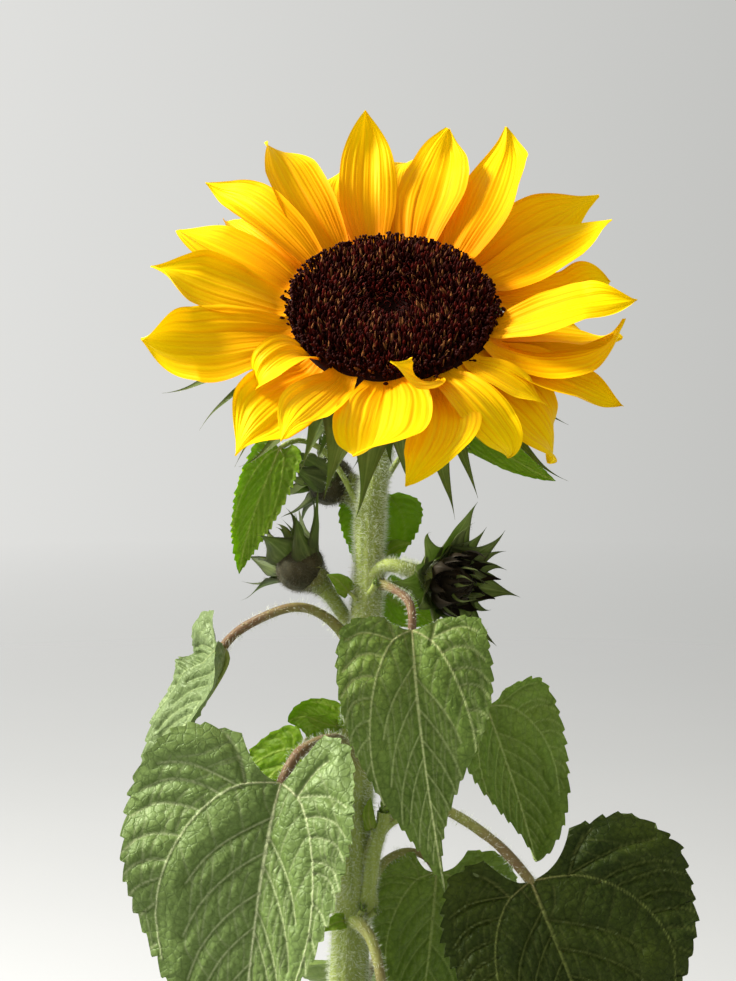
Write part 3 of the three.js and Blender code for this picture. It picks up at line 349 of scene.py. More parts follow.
# ------------------------------------------------------------------ tubes
def line_samples(points, n):
    """Evenly spaced points of the smooth line through the given points."""
    pts = np.asarray(points, float)
    dense = through(pts, np.linspace(0, 1, 40 * len(pts)))
    s = np.concatenate([[0], np.cumsum(np.linalg.norm(np.diff(dense, axis=0), axis=1))])
    t = np.linspace(0, s[-1], n)
    return np.stack([np.interp(t, s, dense[:, k]) for k in range(3)], 1), s[-1]


def tube(points, rings, sides, radius, fixed=None):
    """Verts of a tube. radius(t, angle, centre) in mm. fixed is a world axis that the ring's first vertex follows."""
    c, length = line_samples(points, rings)
    tg = unit(np.gradient(c, axis=0))
    if fixed is not None:
        a = unit(np.asarray(fixed)[None] - (tg @ np.asarray(fixed, float))[:, None] * tg)
    else:
        a = np.zeros_like(c)
        h = np.array([0, 0, 1.0]) if abs(tg[0][2]) < 0.9 else np.array([1.0, 0, 0])
        a[0] = unit(np.cross(tg[0], h))
        for i in range(1, rings):
            w = a[i - 1] - (a[i - 1] @ tg[i]) * tg[i]
            a[i] = unit(w)
    b = np.cross(tg, a)
    th = np.linspace(0, TAU, sides, endpoint=False)
    t = np.linspace(0, 1, rings)
    out = np.cos(th)[None, :, None] * a[:, None] + np.sin(th)[None, :, None] * b[:, None]
    r = radius(t[:, None] + 0 * th[None], th[None] + 0 * t[:, None], c[:, None] + 0 * out)
    v = c[:, None] + out * r[..., None]
    return v, out, dict(c=c, tg=tg, a=a, b=b, length=length, t=t, th=th, r=r)


def tube_uv(rings, sides, box=(0.02, 0.02, 0.98, 0.98)):
    t, k = np.meshgrid(np.linspace(0, 1, rings), np.arange(sides) / (sides - 1), indexing="ij")
    return np.stack([box[0] + (box[2] - box[0]) * k, box[1] + (box[3] - box[1]) * t], -1)


def hairs(joined, base, normal, length, rng, width=0.085, lean=0.35, droop=0.0):
    """Fine tapering hairs: three triangles each."""
    n = len(base)
    d = unit(normal + lean * rng.normal(size=(n, 3)))
    side = unit(np.cross(d, rng.normal(size=(n, 3))))
    bend = 0.25 * rng.normal(size=(n, 3)) * length[:, None] * 0.5 + np.array([0, 0, -droop]) * length[:, None]
    w = width * rng.uniform(0.7, 1.2, n)[:, None]
    p0 = base - d * 0.1
    p1 = base + d * length[:, None] * 0.55 + bend * 0.3
    p2 = base + d * length[:, None] + bend
    v = np.stack([p0 - side * w / 2, p0 + side * w / 2, p1 - side * w * 0.33, p1 + side * w * 0.33, p2], 1).reshape(-1, 3)
    o = (np.arange(n) * 5)[:, None, None]
    f = (np.array([[0, 1, 3], [0, 3, 2], [2, 3, 4]])[None] + o).reshape(-1, 3)
    joined.add(v, f)


def hairs_on_tube(joined, info, density, rng, length=(0.8, 2.0), t0=0.0, t1=1.0, **kw):
    area = TAU * info["r"].mean() * info["length"] * (t1 - t0)
    n = int(area * density * (1))
    t = rng.uniform(t0, t1, n)
    w = rng.uniform(0, TAU, n)
    i = np.clip((t * (len(info["t"]) - 1)), 0, len(info["t"]) - 1.001)
    k = i.astype(int)
    f = (i - k)[:, None]
    lerp = lambda x: x[k] * (1 - f) + x[k + 1] * f
    c, a, b, r = lerp(info["c"]), lerp(info["a"]), lerp(info["b"]), lerp(info["r"].mean(1)[:, None])
    out = np.cos(w)[:, None] * a + np.sin(w)[:, None] * b
    hairs(joined, c + out * r, out, rng.uniform(length[0], length[1], n), rng, **kw)


# ------------------------------------------------------------------ petals and bracts
def ray_shape(s):
    return (0.5 + 0.5 * np.sin(math.pi / 2 * np.minimum(1, s / 0.5))) * (1 - np.clip((s - 0.5) / 0.5, 0, 1) ** 2.3) ** 0.85


def bract_shape(s):
    return (0.62 + 0.38 * np.sin(math.pi / 2 * np.minimum(1, s / 0.28))) * np.where(s > 0.28, 1 - (np.maximum(s - 0.28, 0) / 0.72) ** 1.35, 1.0) * 0.97 + 0.03


def ray_line(frm, centre, radius, height, phi, lift0, lift1, yaw, length, roll0=0.0, roll=0.0, n=25):
    nn, e1, e2 = frm

    def at(s):
        lift = np.radians(lift0 + (lift1 - lift0) * s)[:, None]
        az = np.radians(phi + yaw * s)[:, None]
        ro = np.radians(roll0 + roll * s)[:, None]
        er = np.cos(az) * e1 + np.sin(az) * e2
        ea = -np.sin(az) * e1 + np.cos(az) * e2
        t = np.cos(lift) * er + np.sin(lift) * nn
        up = np.cross(t, ea)
        return t, np.cos(ro) * ea + np.sin(ro) * up, -np.sin(ro) * ea + np.cos(ro) * up

    s = np.linspace(0, 1, n)
    ph = math.radians(phi)
    base = np.asarray(centre, float) + radius * (math.cos(ph) * e1 + math.sin(ph) * e2) + height * nn
    t, _, _ = at((s[1:] + s[:-1]) / 2)
    p = np.vstack([base, base + np.cumsum(t * length / (n - 1), axis=0)])
    t, side, up = at(s)
    return s, p, t, side, up


def ray_surface(line, width, cup, shape, v, wmin=0.35):
    s, p, t, side, up = line
    w = np.maximum(width / 2 * shape(s), wmin)[:, None]
    c = np.radians(cup) * np.abs(v)[None]
    x = w * v[None] * np.cos(c)
    z = w * np.abs(v)[None] * np.sin(c)
    return p[:, None] + side[:, None] * x[..., None] + up[:, None] * z[..., None], w


# ------------------------------------------------------------------ leaf blades
def bezier(q):
    q = np.asarray(q, float)
    return np.array([q[0], (-5 * q[0] + 18 * q[1] - 9 * q[2] + 2 * q[3]) / 6, (2 * q[0] - 9 * q[1] + 18 * q[2] - 5 * q[3]) / 6, q[3]])


def bezier_point(b, t):
    t = np.asarray(t, float)[..., None]
    m = 1 - t
    return m**3 * b[0] + 3 * m * m * t * b[1] + 3 * m * t * t * b[2] + t**3 * b[3]


def bezier_slope(b, t):
    t = np.asarray(t, float)[..., None]
    m = 1 - t
    return 3 * m * m * (b[1] - b[0]) + 6 * m * t * (b[2] - b[1]) + 3 * t * t * (b[3] - b[2])


def leaf_place(leaf, x, y):
    """A point of the flat leaf, x in mm and y in lengths, on the bent blade."""
    b = bezier(leaf["mid"])
    length = np.linalg.norm(np.diff(bezier_point(b, np.linspace(0, 1, 25)), axis=0), axis=1).sum()
    yc = np.clip(y, 0, 1)
    p = bezier_point(b, yc)
    along = unit(bezier_slope(b, yc))
    n0, n1 = np.array(leaf["n0"], float), np.array(leaf["n1"], float)
    n = n0 + (n1 - n0) * yc[..., None]
    side = unit(np.cross(n, along))
    n = np.cross(along, side)
    ext = (y - yc) * length
    p = p + along * ext[..., None] - n * (leaf["back"] * np.minimum(ext, 0) ** 2)[..., None]
    a, w = np.abs(x), leaf["W"] / 2
    right = x >= 0
    ang = np.radians(np.where(right, leaf["fold"][1], leaf["fold"][0]) + np.where(right, leaf["curl"][1], leaf["curl"][0]) * np.minimum(a / w, 1.3) * 0.5)
    wave = leaf["wave"][0] * np.sin(TAU * (leaf["wave"][1] * y + leaf["wave"][2]) + np.where(right, 0, 1.7)) * (a / w) ** 2
    return p + side * (x * np.cos(ang))[..., None] + n * (a * np.sin(ang) + wave)[..., None]


VEINS_MAIN = [[(0, -0.01), (0, 0.25), (0, 0.5), (0, 0.75), (0, 0.98)]]
LATERAL = [(0, 0.0), (0.24, 0.045), (0.39, 0.105), (0.53, 0.20), (0.63, 0.31), (0.68, 0.42), (0.68, 0.54), (0.60, 0.67)]
OUTER = [
    [(0.24, 0.045), (0.31, -0.02), (0.40, -0.07), (0.49, -0.10)],
    [(0.25, 0.046), (0.44, 0.025), (0.66, 0.015), (0.86, 0.04)],
    [(0.39, 0.105), (0.56, 0.09), (0.76, 0.10), (0.93, 0.15)],
    [(0.51, 0.18), (0.66, 0.175), (0.83, 0.19), (0.97, 0.245)],
    [(0.59, 0.25), (0.72, 0.25), (0.86, 0.27), (0.97, 0.33)],
    [(0.65, 0.33), (0.76, 0.335), (0.87, 0.36), (0.95, 0.41)],
    [(0.68, 0.41), (0.77, 0.43), (0.85, 0.46), (0.89, 0.50)],
    [(0.69, 0.49), (0.75, 0.52), (0.80, 0.55), (0.81, 0.58)],
    [(0.66, 0.59), (0.70, 0.62), (0.71, 0.66)],
]
INNER = [
    [(0.0, 0.17), (0.13, 0.222), (0.27, 0.28), (0.40, 0.352), (0.50, 0.44)],
    [(0.0, 0.295), (0.14, 0.352), (0.28, 0.424), (0.40, 0.51), (0.48, 0.61)],
    [(0.0, 0.42), (0.14, 0.48), (0.26, 0.55), (0.36, 0.635), (0.41, 0.73)],
    [(0.0, 0.54), (0.12, 0.60), (0.22, 0.67), (0.30, 0.76)],
    [(0.0, 0.65), (0.10, 0.71), (0.18, 0.775), (0.23, 0.845)],
    [(0.0, 0.75), (0.075, 0.80), (0.125, 0.86)],
    [(0.0, 0.84), (0.05, 0.88), (0.08, 0.92)],
]
CROSS = [  # between the midrib's and the lateral's branches
    [(0.12, 0.022), (0.10, 0.08), (0.06, 0.13), (0.0, 0.16)],
    [(0.33, 0.08), (0.26, 0.13), (0.20, 0.20), (0.17, 0.245)],
    [(0.48, 0.16), (0.42, 0.22), (0.36, 0.28), (0.33, 0.31)],
    [(0.60, 0.27), (0.54, 0.32), (0.48, 0.38), (0.44, 0.40)],
    [(0.66, 0.37), (0.61, 0.42), (0.54, 0.47), (0.47, 0.48)],
    [(0.10, 0.35), (0.10, 0.30), (0.09, 0.23)],
    [(0.24, 0.38), (0.22, 0.33), (0.20, 0.26)],
    [(0.12, 0.46), (0.11, 0.41), (0.10, 0.34)],
    [(0.27, 0.53), (0.25, 0.47), (0.24, 0.38)],
    [(0.12, 0.58), (0.11, 0.52), (0.10, 0.46)],
    [(0.26, 0.69), (0.26, 0.62), (0.27, 0.54)],
]


def rungs(a, b, count, rng):
    """Short cross veins between two neighbouring branches."""
    qa, qb = (through(np.asarray(q, float), np.linspace(0.10, 0.96, 40)) for q in (a, b))
    out = []
    for k in range(count):
        t = (k + rng.uniform(0.1, 0.9)) / count
        p, q = qa[int(t * 39)], qb[int(np.clip(t + rng.uniform(-0.09, 0.09), 0, 1) * 39)]
        out.append([tuple(p), tuple((p + q) / 2 + rng.normal(0, 0.012, 2)), tuple(q)])
    return out


def distance_to(px, py, poly, n=9):
    q = through(np.asarray(poly, float), np.linspace(0, 1, n))
    best = np.full(px.shape, 1e9)
    for a, b in zip(q[:-1], q[1:]):
        d = b - a
        t = np.clip(((px - a[0]) * d[0] + (py - a[1]) * d[1]) / (d @ d + 1e-12), 0, 1)
        best = np.minimum(best, (px - a[0] - t * d[0]) ** 2 + (py - a[1] - t * d[1]) ** 2)
    return np.sqrt(best)


def vein_fields(x, y, length, halves, rng, cell_size=3.4):
    """Distances in mm to the main veins and to the side veins, and to the edges of the small cells."""
    px, py = x.ravel(), (y * length).ravel()
    main = distance_to(px, py, [(p[0], p[1] * length) for p in VEINS_MAIN[0]])
    sidev = np.full(px.shape, 1e9)
    cross = np.full(px.shape, 1e9)
    for sgn in (-1, 1):
        h = halves[1 if sgn > 0 else 0]
        near = (px * sgn) > -3.0
        jit = lambda: rng.normal(0, 0.010)
        shift = 0.025 * sgn

        def put(poly, sh=0.0):
            jy = jit()
            return [(sgn * p[0] * h, (p[1] + (sh + jy) * (1 if p[0] > 0.01 or sh else 0)) * length) for p in poly]

        main[near] = np.minimum(main[near], 0.15 + distance_to(px[near], py[near], put(LATERAL), 14))
        for poly in OUTER:
            sidev[near] = np.minimum(sidev[near], distance_to(px[near], py[near], put(poly)))
        for poly in INNER:
            sidev[near] = np.minimum(sidev[near], distance_to(px[near], py[near], put(poly, shift)))
        ties = list(CROSS[:4])
        for i in range(len(INNER) - 1):
            ties += rungs(INNER[i], INNER[i + 1], (6, 6, 5, 4, 3, 2)[i], rng)
        for i in range(len(OUTER) - 1):
            ties += rungs(OUTER[i], OUTER[i + 1], (3, 4, 4, 4, 3, 3, 2, 1)[i], rng)
        for poly in ties:
            cross[near] = np.minimum(cross[near], distance_to(px[near], py[near], put(poly, shift if poly[0][0] < 0.5 and poly[-1][0] < 0.5 else 0.0), 5))
    # small cells: edges between jittered seeds
    step = cell_size
    gx = np.arange(px.min() - step, px.max() + step, step)
    gy = np.arange(py.min() - step, py.max() + step, step)
    sx, sy = np.meshgrid(gx, gy)
    sx = (sx + rng.uniform(-0.42, 0.42, sx.shape) * step).ravel()
    sy = (sy + rng.uniform(-0.42, 0.42, sy.shape) * step).ravel()
    edge = np.empty(px.shape)
    for k in range(0, len(px), 6000):
        d = (px[k : k + 6000, None] - sx) ** 2 + (py[k : k + 6000, None] - sy) ** 2
        two = np.sqrt(np.partition(d, 1, axis=1)[:, :2])
        edge[k : k + 6000] = (two[:, 1] - two[:, 0]) / 2
    return [a.reshape(x.shape) for a in (main, sidev, cross, edge)]


def leaf_piece(name, leaf, nu, nv, mats, node=None, seed=1, relief=1.0, tooth=1.8, tooth_step=5.6):
    rng = np.random.default_rng(seed)
    b = bezier(leaf["mid"])
    length = np.linalg.norm(np.diff(bezier_point(b, np.linspace(0, 1, 25)), axis=0), axis=1).sum()
    halves = [leaf["W"] / 2 * leaf["sides"][0], leaf["W"] / 2 * leaf["sides"][1]]

    def flat(u, v):
        t = np.clip(u, 0, 1) ** 0.85
        a = np.abs(v)
        xm = through(MARGIN_X, t)
        xm = np.where(t > 0.33, np.clip(xm, 0, 1) ** np.where(v >= 0, leaf["taper"][1], leaf["taper"][0]), xm)
        ym = through(MARGIN_Y, t)
        ym = np.where(ym < 0, ym * np.where(v >= 0, leaf["lobe"][1], leaf["lobe"][0]), ym)
        half = np.where(v >= 0, halves[1], halves[0])
        return np.sign(v) * xm * a * half, u + (ym - u) * a ** (1.25 + np.where(v >= 0, leaf["sinus"][1], leaf["sinus"][0]) * np.clip(1 - u / 0.12, 0, 1))

    us = np.linspace(0, 1, nu)

    def serrate(u, v, x, y):
        for sgn in (-1, 1):
            mx, my = flat(us, np.full(nu, float(sgn)))
            m = np.stack([mx, my * length], 1)
            s = np.concatenate([[0], np.cumsum(np.linalg.norm(np.diff(m, axis=0), axis=1))])
            tg = unit(np.gradient(m, axis=0))
            nrm = np.stack([tg[:, 1], -tg[:, 0]], 1) * sgn
            r2 = np.random.default_rng(seed * 7 + sgn + 1)
            marks = np.concatenate([[0], np.cumsum(tooth_step * r2.uniform(0.72, 1.3, 200))])
            amp = r2.uniform(0.65, 1.15, 201)
            k = np.searchsorted(marks, s, side="right") - 1
            fr = (s - marks[k]) / (marks[k + 1] - marks[k])
            prof = np.where(fr < 0.82, (fr / 0.82) ** 0.75, 1 - (fr - 0.82) / 0.18) - 0.45
            ends = np.clip(s / 8, 0, 1) * np.clip((s[-1] - s) / 9, 0, 1)
            off = prof * amp[k] * tooth * ends
            on = np.sign(v) == sgn
            w = np.abs(v) ** 5 * on
            o = np.interp(u, us, off)
            nx, ny = np.interp(u, us, nrm[:, 0]), np.interp(u, us, nrm[:, 1])
            tx, ty = np.interp(u, us, tg[:, 0]), np.interp(u, us, tg[:, 1])
            lean = 0.5 * o
            x = x + w * (nx * o + tx * lean)
            y = y + w * (ny * o + ty * lean) / length
        return x, y

    def surface(nvv):
        u, v = np.meshgrid(us, np.linspace(-1, 1, nvv), indexing="ij")
        x, y = flat(u, v)
        x, y = serrate(u, v, x, y)
        p = leaf_place(leaf, x, y)
        return u, v, x, y, p

    def relief_of(u, v, p, fields):
        main, sidev, cross, cell = fields
        strong = np.minimum(main * 0.62 + 0.75, sidev)
        edge = np.clip((1 - np.abs(v)) * 7, 0.2, 1)
        puff = 1.95 * (1 - np.exp(-((strong / 3.0) ** 1.15))) + 0.42 * (1 - np.exp(-((cross / 1.25) ** 1.4))) * np.clip(strong / 1.3, 0, 1)
        cells = (1 - np.exp(-((cell / 0.55) ** 1.6))) * np.clip(strong / 1.2, 0, 1)
        slow = (0.9 * vnoise(p, 27.0, seed) + 0.20 * vnoise(p, 10.0, seed + 9)) * (0.45 + 0.55 * np.clip(main / 7.0, 0, 1))
        return relief * ((puff - 1.3) * edge + slow), relief * 0.17 * cells * edge, edge

    u, v, x, y, p = surface(nv)
    fields = vein_fields(x, y, length, halves, np.random.default_rng(seed + 50))
    main, sidev, cross, cell = fields
    n = normals_of(p)
    up = np.array(leaf["n0"], float) + np.array(leaf["n1"], float)
    flip = (n * up).sum(-1).mean() < 0
    if flip:
        n = -n
    body, cells, edge = relief_of(u, v, p, fields)
    ridge = 0.80 * np.exp(-((main / 0.50) ** 2)) * (1 - 0.5 * y)
    top = p + n * (body + cells + relief * (ridge + 0.09 * vnoise(p, 1.6, seed + 3) * edge) + 0.15)[..., None]
    taper = 1 - 0.35 * np.clip(y, 0, 1)
    vein = np.maximum(np.exp(-((main / (0.32 * taper + 0.10)) ** 2)), np.maximum(0.44 * np.exp(-((sidev / 0.36) ** 2)), 0.20 * np.exp(-((cross / 0.32) ** 2))))
    # painted shade: darker along the edges of the small cells, in a crease beside each side vein and beside the midrib,
    # and along the cross veins
    groove_shade = np.maximum(0.55 * np.exp(-((cell / 0.27) ** 2)), np.maximum(np.maximum(0.55 * np.exp(-(((sidev - 0.70) / 0.45) ** 2)), 0.22 * np.exp(-(((main - 0.95) / 0.45) ** 2))), 0.7 * np.exp(-((cross / 0.45) ** 2)))) * (1 - vein)
    # underside: fewer rows and columns, the veins stand out
    rows = np.arange(0, nu, 2)
    if rows[-1] != nu - 1:
        rows = np.append(rows, nu - 1)
    nb = max(12, nv // 3) | 1
    ub, vb, xb, yb, pb = (a[rows] for a in surface(nb))
    under_fields = vein_fields(xb, yb, length, halves, np.random.default_rng(seed + 50))
    mainb, sideb, crossb, cellb = under_fields
    normal_b = normals_of(pb) * (-1 if flip else 1)
    bodyb, _, edgeb = relief_of(ub, vb, pb, under_fields)
    veinb = np.maximum(np.exp(-((mainb / 0.9) ** 2)), np.maximum(0.6 * np.exp(-((sideb / 0.6) ** 2)), 0.25 * np.exp(-((crossb / 0.5) ** 2))))
    hb = bodyb - 0.30 * (1 - np.abs(vb) ** 6) - 0.5 * relief * veinb * edgeb - 0.9 * relief * np.exp(-((mainb / 1.4) ** 2)) * (1 - np.clip(yb, 0, 1)) * edgeb
    under = pb + normal_b * hb[..., None]
    # both sides share the margin
    under[:, 0], under[:, -1] = top[rows, 0], top[rows, -1]
    for k in range(3):
        under[0, :, k] = np.interp(vb[0], v[0], top[0, :, k])
        under[-1, :, k] = np.interp(vb[-1], v[-1], top[-1, :, k])
    verts = np.concatenate([top.reshape(-1, 3), under.reshape(-1, 3)])
    ft = grid_faces(nu, nv, 0, flip=not flip)
    fb = grid_faces(len(rows), nb, nu * nv, flip=flip)
    uvt = np.stack([0.01 + 0.47 * (v + 1) / 2, 0.01 + 0.98 * u], -1).reshape(-1, 2)
    uvb = np.stack([0.52 + 0.47 * (vb + 1) / 2, 0.01 + 0.98 * ub], -1).reshape(-1, 2)
    cat = lambda a, c: np.concatenate([a.ravel(), c.ravel()])
    # the groove attribute is painted shade on both sides; on the underside it darkens the edges of the small cells
    ob = make(name, verts, [ft, fb], mats, index=[0, 1],
              attrs=dict(vein=cat(vein, veinb), groove_shade=cat(groove_shade, np.exp(-((cellb / 0.5) ** 2)) * 0.6), near=cat(np.exp(-np.hypot(x, y * length) / 9), np.exp(-np.hypot(xb, yb * length) / 9))),
              uv=np.concatenate([uvt, uvb]), node=node, slot="leaf_green")
    return ob, dict(length=length, top=top, n=n, b=b)


# ------------------------------------------------------------------ materials
class Mat:
    def __init__(self, name):
        self.m = bpy.data.materials.new(name)
        self.m.use_nodes = True
        self.t = self.m.node_tree
        self.t.nodes.clear()
        self.out = self.t.nodes.new("ShaderNodeOutputMaterial")

    def node(self, kind, **kw):
        n = self.t.nodes.new(kind)
        for k, val in kw.items():
            setattr(n, k, val)
        return n

    def link(self, a, b):
        self.t.links.new(a, b)

    def coords(self, scale=1.0):
        c = self.node("ShaderNodeTexCoord").outputs["Object"]
        if scale == 1.0:
            return c
        mp = self.node("ShaderNodeMapping")
        mp.inputs["Scale"].default_value = scale if isinstance(scale, tuple) else (scale,) * 3
        self.link(c, mp.inputs["Vector"])
        return mp.outputs["Vector"]

    def noise(self, scale, detail=3.0, rough=0.55, vec=None):
        n = self.node("ShaderNodeTexNoise")
        n.inputs["Scale"].default_value = scale
        n.inputs["Detail"].default_value = detail
        n.inputs["Roughness"].default_value = rough
        self.link(vec or self.coords(), n.inputs["Vector"])
        return n.outputs["Fac"]

    def voronoi(self, scale, feature="DISTANCE_TO_EDGE", vec=None, rand=1.0):
        n = self.node("ShaderNodeTexVoronoi", feature=feature)
        n.inputs["Scale"].default_value = scale
        n.inputs["Randomness"].default_value = rand
        self.link(vec or self.coords(), n.inputs["Vector"])
        return n.outputs["Distance"]

    def attr(self, name):
        n = self.node("ShaderNodeAttribute", attribute_name=name)
        return n.outputs["Fac"]

    def ramp(self, fac, stops):
        n = self.node("ShaderNodeValToRGB")
        el = n.color_ramp.elements
        while len(el) > 1:
            el.remove(el[-1])
        for i, (pos, col) in enumerate(stops):
            e = el[0] if i == 0 else el.new(pos)
            e.position = pos
            e.color = (*col, 1) if not isinstance(col, (int, float)) else (col, col, col, 1)
        self.link(fac, n.inputs["Fac"])
        return n.outputs["Color"]

    def mix(self, fac, a, b, blend="MIX"):
        n = self.node("ShaderNodeMix", data_type="RGBA", blend_type=blend)
        for sock, val in ((n.inputs[0], fac), (n.inputs[6], a), (n.inputs[7], b)):
            if isinstance(val, (int, float)):
                sock.default_value = val if sock == n.inputs[0] else (val, val, val, 1)
            elif isinstance(val, tuple):
                sock.default_value = (*val, 1)
            else:
                self.link(val, sock)
        return n.outputs[2]

    def math(self, op, a, b=0.0, c=None, clamp=False):
        n = self.node("ShaderNodeMath", operation=op, use_clamp=clamp)
        for k, val in enumerate((a, b) if c is None else (a, b, c)):
            if isinstance(val, (int, float)):
                n.inputs[k].default_value = val
            else:
                self.link(val, n.inputs[k])
        return n.outputs[0]

    def bump(self, height, strength, distance, before=None):
        n = self.node("ShaderNodeBump")
        n.inputs["Strength"].default_value = strength
        n.inputs["Distance"].default_value = distance
        self.link(height, n.inputs["Height"])
        if before is not None:
            self.link(before, n.inputs["Normal"])
        return n.outputs["Normal"]

    def surface(self, color, rough=0.5, normal=None, spec=0.5, tint=(1, 1, 1), sheen=0.0, sheen_rough=0.4, sheen_tint=(1, 1, 1), through=None, amount=0.2, coat=0.0):
        p = self.node("ShaderNodeBsdfPrincipled")
        if isinstance(color, tuple):
            p.inputs["Base Color"].default_value = (*color, 1)
        else:
            self.link(color, p.inputs["Base Color"])
        if isinstance(rough, (int, float)):
            p.inputs["Roughness"].default_value = rough
        else:
            self.link(rough, p.inputs["Roughness"])
        p.inputs["Specular IOR Level"].default_value = spec
        p.inputs["Specular Tint"].default_value = (*tint, 1)
        p.inputs["Sheen Weight"].default_value = sheen
        p.inputs["Sheen Roughness"].default_value = sheen_rough
        p.inputs["Sheen Tint"].default_value = (*sheen_tint, 1)
        p.inputs["Coat Weight"].default_value = coat
        if normal is not None:
            self.link(normal, p.inputs["Normal"])
        if through is None:
            self.link(p.outputs[0], self.out.inputs["Surface"])
        else:
            tr = self.node("ShaderNodeBsdfTranslucent")
            if isinstance(through, tuple):
                tr.inputs["Color"].default_value = (*through, 1)
            else:
                self.link(through, tr.inputs["Color"])
            mx = self.node("ShaderNodeMixShader")
            mx.inputs[0].default_value = amount
            self.link(p.outputs[0], mx.inputs[1])
            self.link(tr.outputs[0], mx.inputs[2])
            self.link(mx.outputs[0], self.out.inputs["Surface"])
        return self.m


def leaf_material(name, light, dark, vein, groove_shade, trans, amount=0.2, rough=(0.40, 0.58), sheen=0.04, relief=1.0, spec=0.5):
    m = Mat(name)
    cloud = m.noise(34.0, 3.0, 0.6)
    col = m.mix(m.ramp(cloud, [(0.34, 0.0), (0.66, 1.0)]), dark, light)
    speck = m.noise(520.0, 2.0, 0.6)
    col = m.mix(m.ramp(speck, [(0.40, 0.0), (0.75, 0.45)]), col, tuple(min(1, c * 1.4 + 0.012) for c in light))
    # painted shade: the colour darkens toward the shade colour in the creases that the groove attribute marks
    col = m.mix(m.math("MULTIPLY", m.attr("groove_shade"), 0.55), col, groove_shade)
    veincol = m.mix(m.math("MULTIPLY", m.attr("near"), 0.6, clamp=True), vein, (0.36, 0.22, 0.13))
    col = m.mix(m.math("MULTIPLY", m.attr("vein"), 0.95, clamp=True), col, veincol)
    net = m.ramp(m.voronoi(300.0), [(0.0, 0.0), (0.05, 0.75), (0.16, 1.0)])
    small = m.ramp(m.voronoi(820.0), [(0.0, 0.0), (0.14, 1.0)])
    # more painted shade along the edges of the vein net's cells and of the finer net
    col = m.mix(m.math("MULTIPLY", m.math("SUBTRACT", 1.0, net), 0.38), col, groove_shade)
    col = m.mix(m.math("MULTIPLY", m.math("SUBTRACT", 1.0, small), 0.20), col, groove_shade)
    nrm = m.bump(net, 0.34 * relief, 0.0007)
    nrm = m.bump(small, 0.16 * relief, 0.0004, nrm)
    nrm = m.bump(m.noise(1300.0, 2.0, 0.6), 0.16 * relief, 0.0003, nrm)
    r = m.ramp(m.noise(90.0, 3.0, 0.6), [(0.3, rough[0]), (0.7, rough[1])])
    tcol = m.mix(m.math("MULTIPLY", m.attr("vein"), 0.7), trans, tuple(c * 0.45 for c in trans))
    return m.surface(col, r, nrm, spec=spec, tint=(0.85, 1.0, 0.6), sheen=sheen, sheen_rough=0.35, sheen_tint=(0.85, 1.0, 0.6), through=tcol, amount=amount)


def petal_material():
    m = Mat("petal_yellow")
    along, across, tone = m.attr("along"), m.attr("across"), m.attr("tone")
    def streak(fx, fy, detail):
        c = m.node("ShaderNodeCombineXYZ")
        m.link(m.math("MULTIPLY", across, fx), c.inputs[0])
        m.link(m.math("MULTIPLY", along, fy), c.inputs[1])
        m.link(m.math("MULTIPLY", tone, 37.0), c.inputs[2])
        return m.noise(1.0, detail, 0.55, c.outputs[0])
    fine = streak(13.0, 2.2, 3.0)
    broad = streak(3.2, 1.3, 2.0)
    s = m.math("ADD", along, m.math("MULTIPLY", m.math("SUBTRACT", fine, 0.5), 0.35))
    s = m.math("ADD", s, m.math("MULTIPLY", m.math("SUBTRACT", broad, 0.5), 0.30))
    # tone moves each petal between orange and lemon; besides a random share it carries painted light and shade set by
    # the petal's place round the head
    s = m.math("ADD", s, m.math("MULTIPLY", m.math("SUBTRACT", tone, 0.5), 0.42), clamp=True)
    col = m.ramp(s, [(0.0, (0.78, 0.25, 0.0006)), (0.20, (0.84, 0.36, 0.0007)), (0.48, (0.88, 0.50, 0.0009)), (0.92, (0.91, 0.66, 0.0012))])
    lines = m.ramp(streak(30.0, 1.6, 2.0), [(0.35, 0.0), (0.6, 1.0)])
    col = m.mix(m.math("MULTIPLY", m.math("SUBTRACT", 1.0, lines), 0.08), col, (0.86, 0.36, 0.001))
    # painted shade: the valleys between the petal's ridges turn darker orange
    col = m.mix(m.math("MULTIPLY", m.attr("valley_shade"), 0.52, clamp=True), col, (0.80, 0.27, 0.0008))
    nrm = m.bump(streak(9.0, 0.7, 1.0), 0.60, 0.0006)
    nrm = m.bump(lines, 0.16, 0.0003, nrm)
    nrm = m.bump(m.noise(900.0, 2.0, 0.6), 0.08, 0.0002, nrm)
    through = m.mix(along, (0.96, 0.42, 0.001), (1.0, 0.60, 0.002))
    return m.surface(col, m.ramp(fine, [(0.3, 0.46), (0.7, 0.62)]), nrm, spec=0.15, tint=(1.0, 0.80, 0.05), through=through, amount=0.16)


def plain_material(name, a, b, scale=160.0, rough=(0.5, 0.7), bump=0.3, dist=0.0004, bscale=900.0, spec=0.4, sheen=0.0, stretch=None, through=None, amount=0.2, tint=(1, 1, 1)):
    m = Mat(name)
    vec = m.coords(stretch) if stretch else None
    n = m.noise(scale, 4.0, 0.6, vec)
    col = m.mix(m.ramp(n, [(0.35, 0.0), (0.65, 1.0)]), a, b)
    f = m.noise(bscale, 3.0, 0.6)
    col = m.mix(m.math("MULTIPLY", m.math("SUBTRACT", 1.0, f), 0.35), col, tuple(c * 0.5 for c in a))
    nrm = m.bump(f, bump, dist)
    return m.surface(col, m.ramp(n, [(0.3, rough[0]), (0.7, rough[1])]), nrm, spec=spec, tint=tint, sheen=sheen, sheen_tint=tint, through=through, amount=amount)


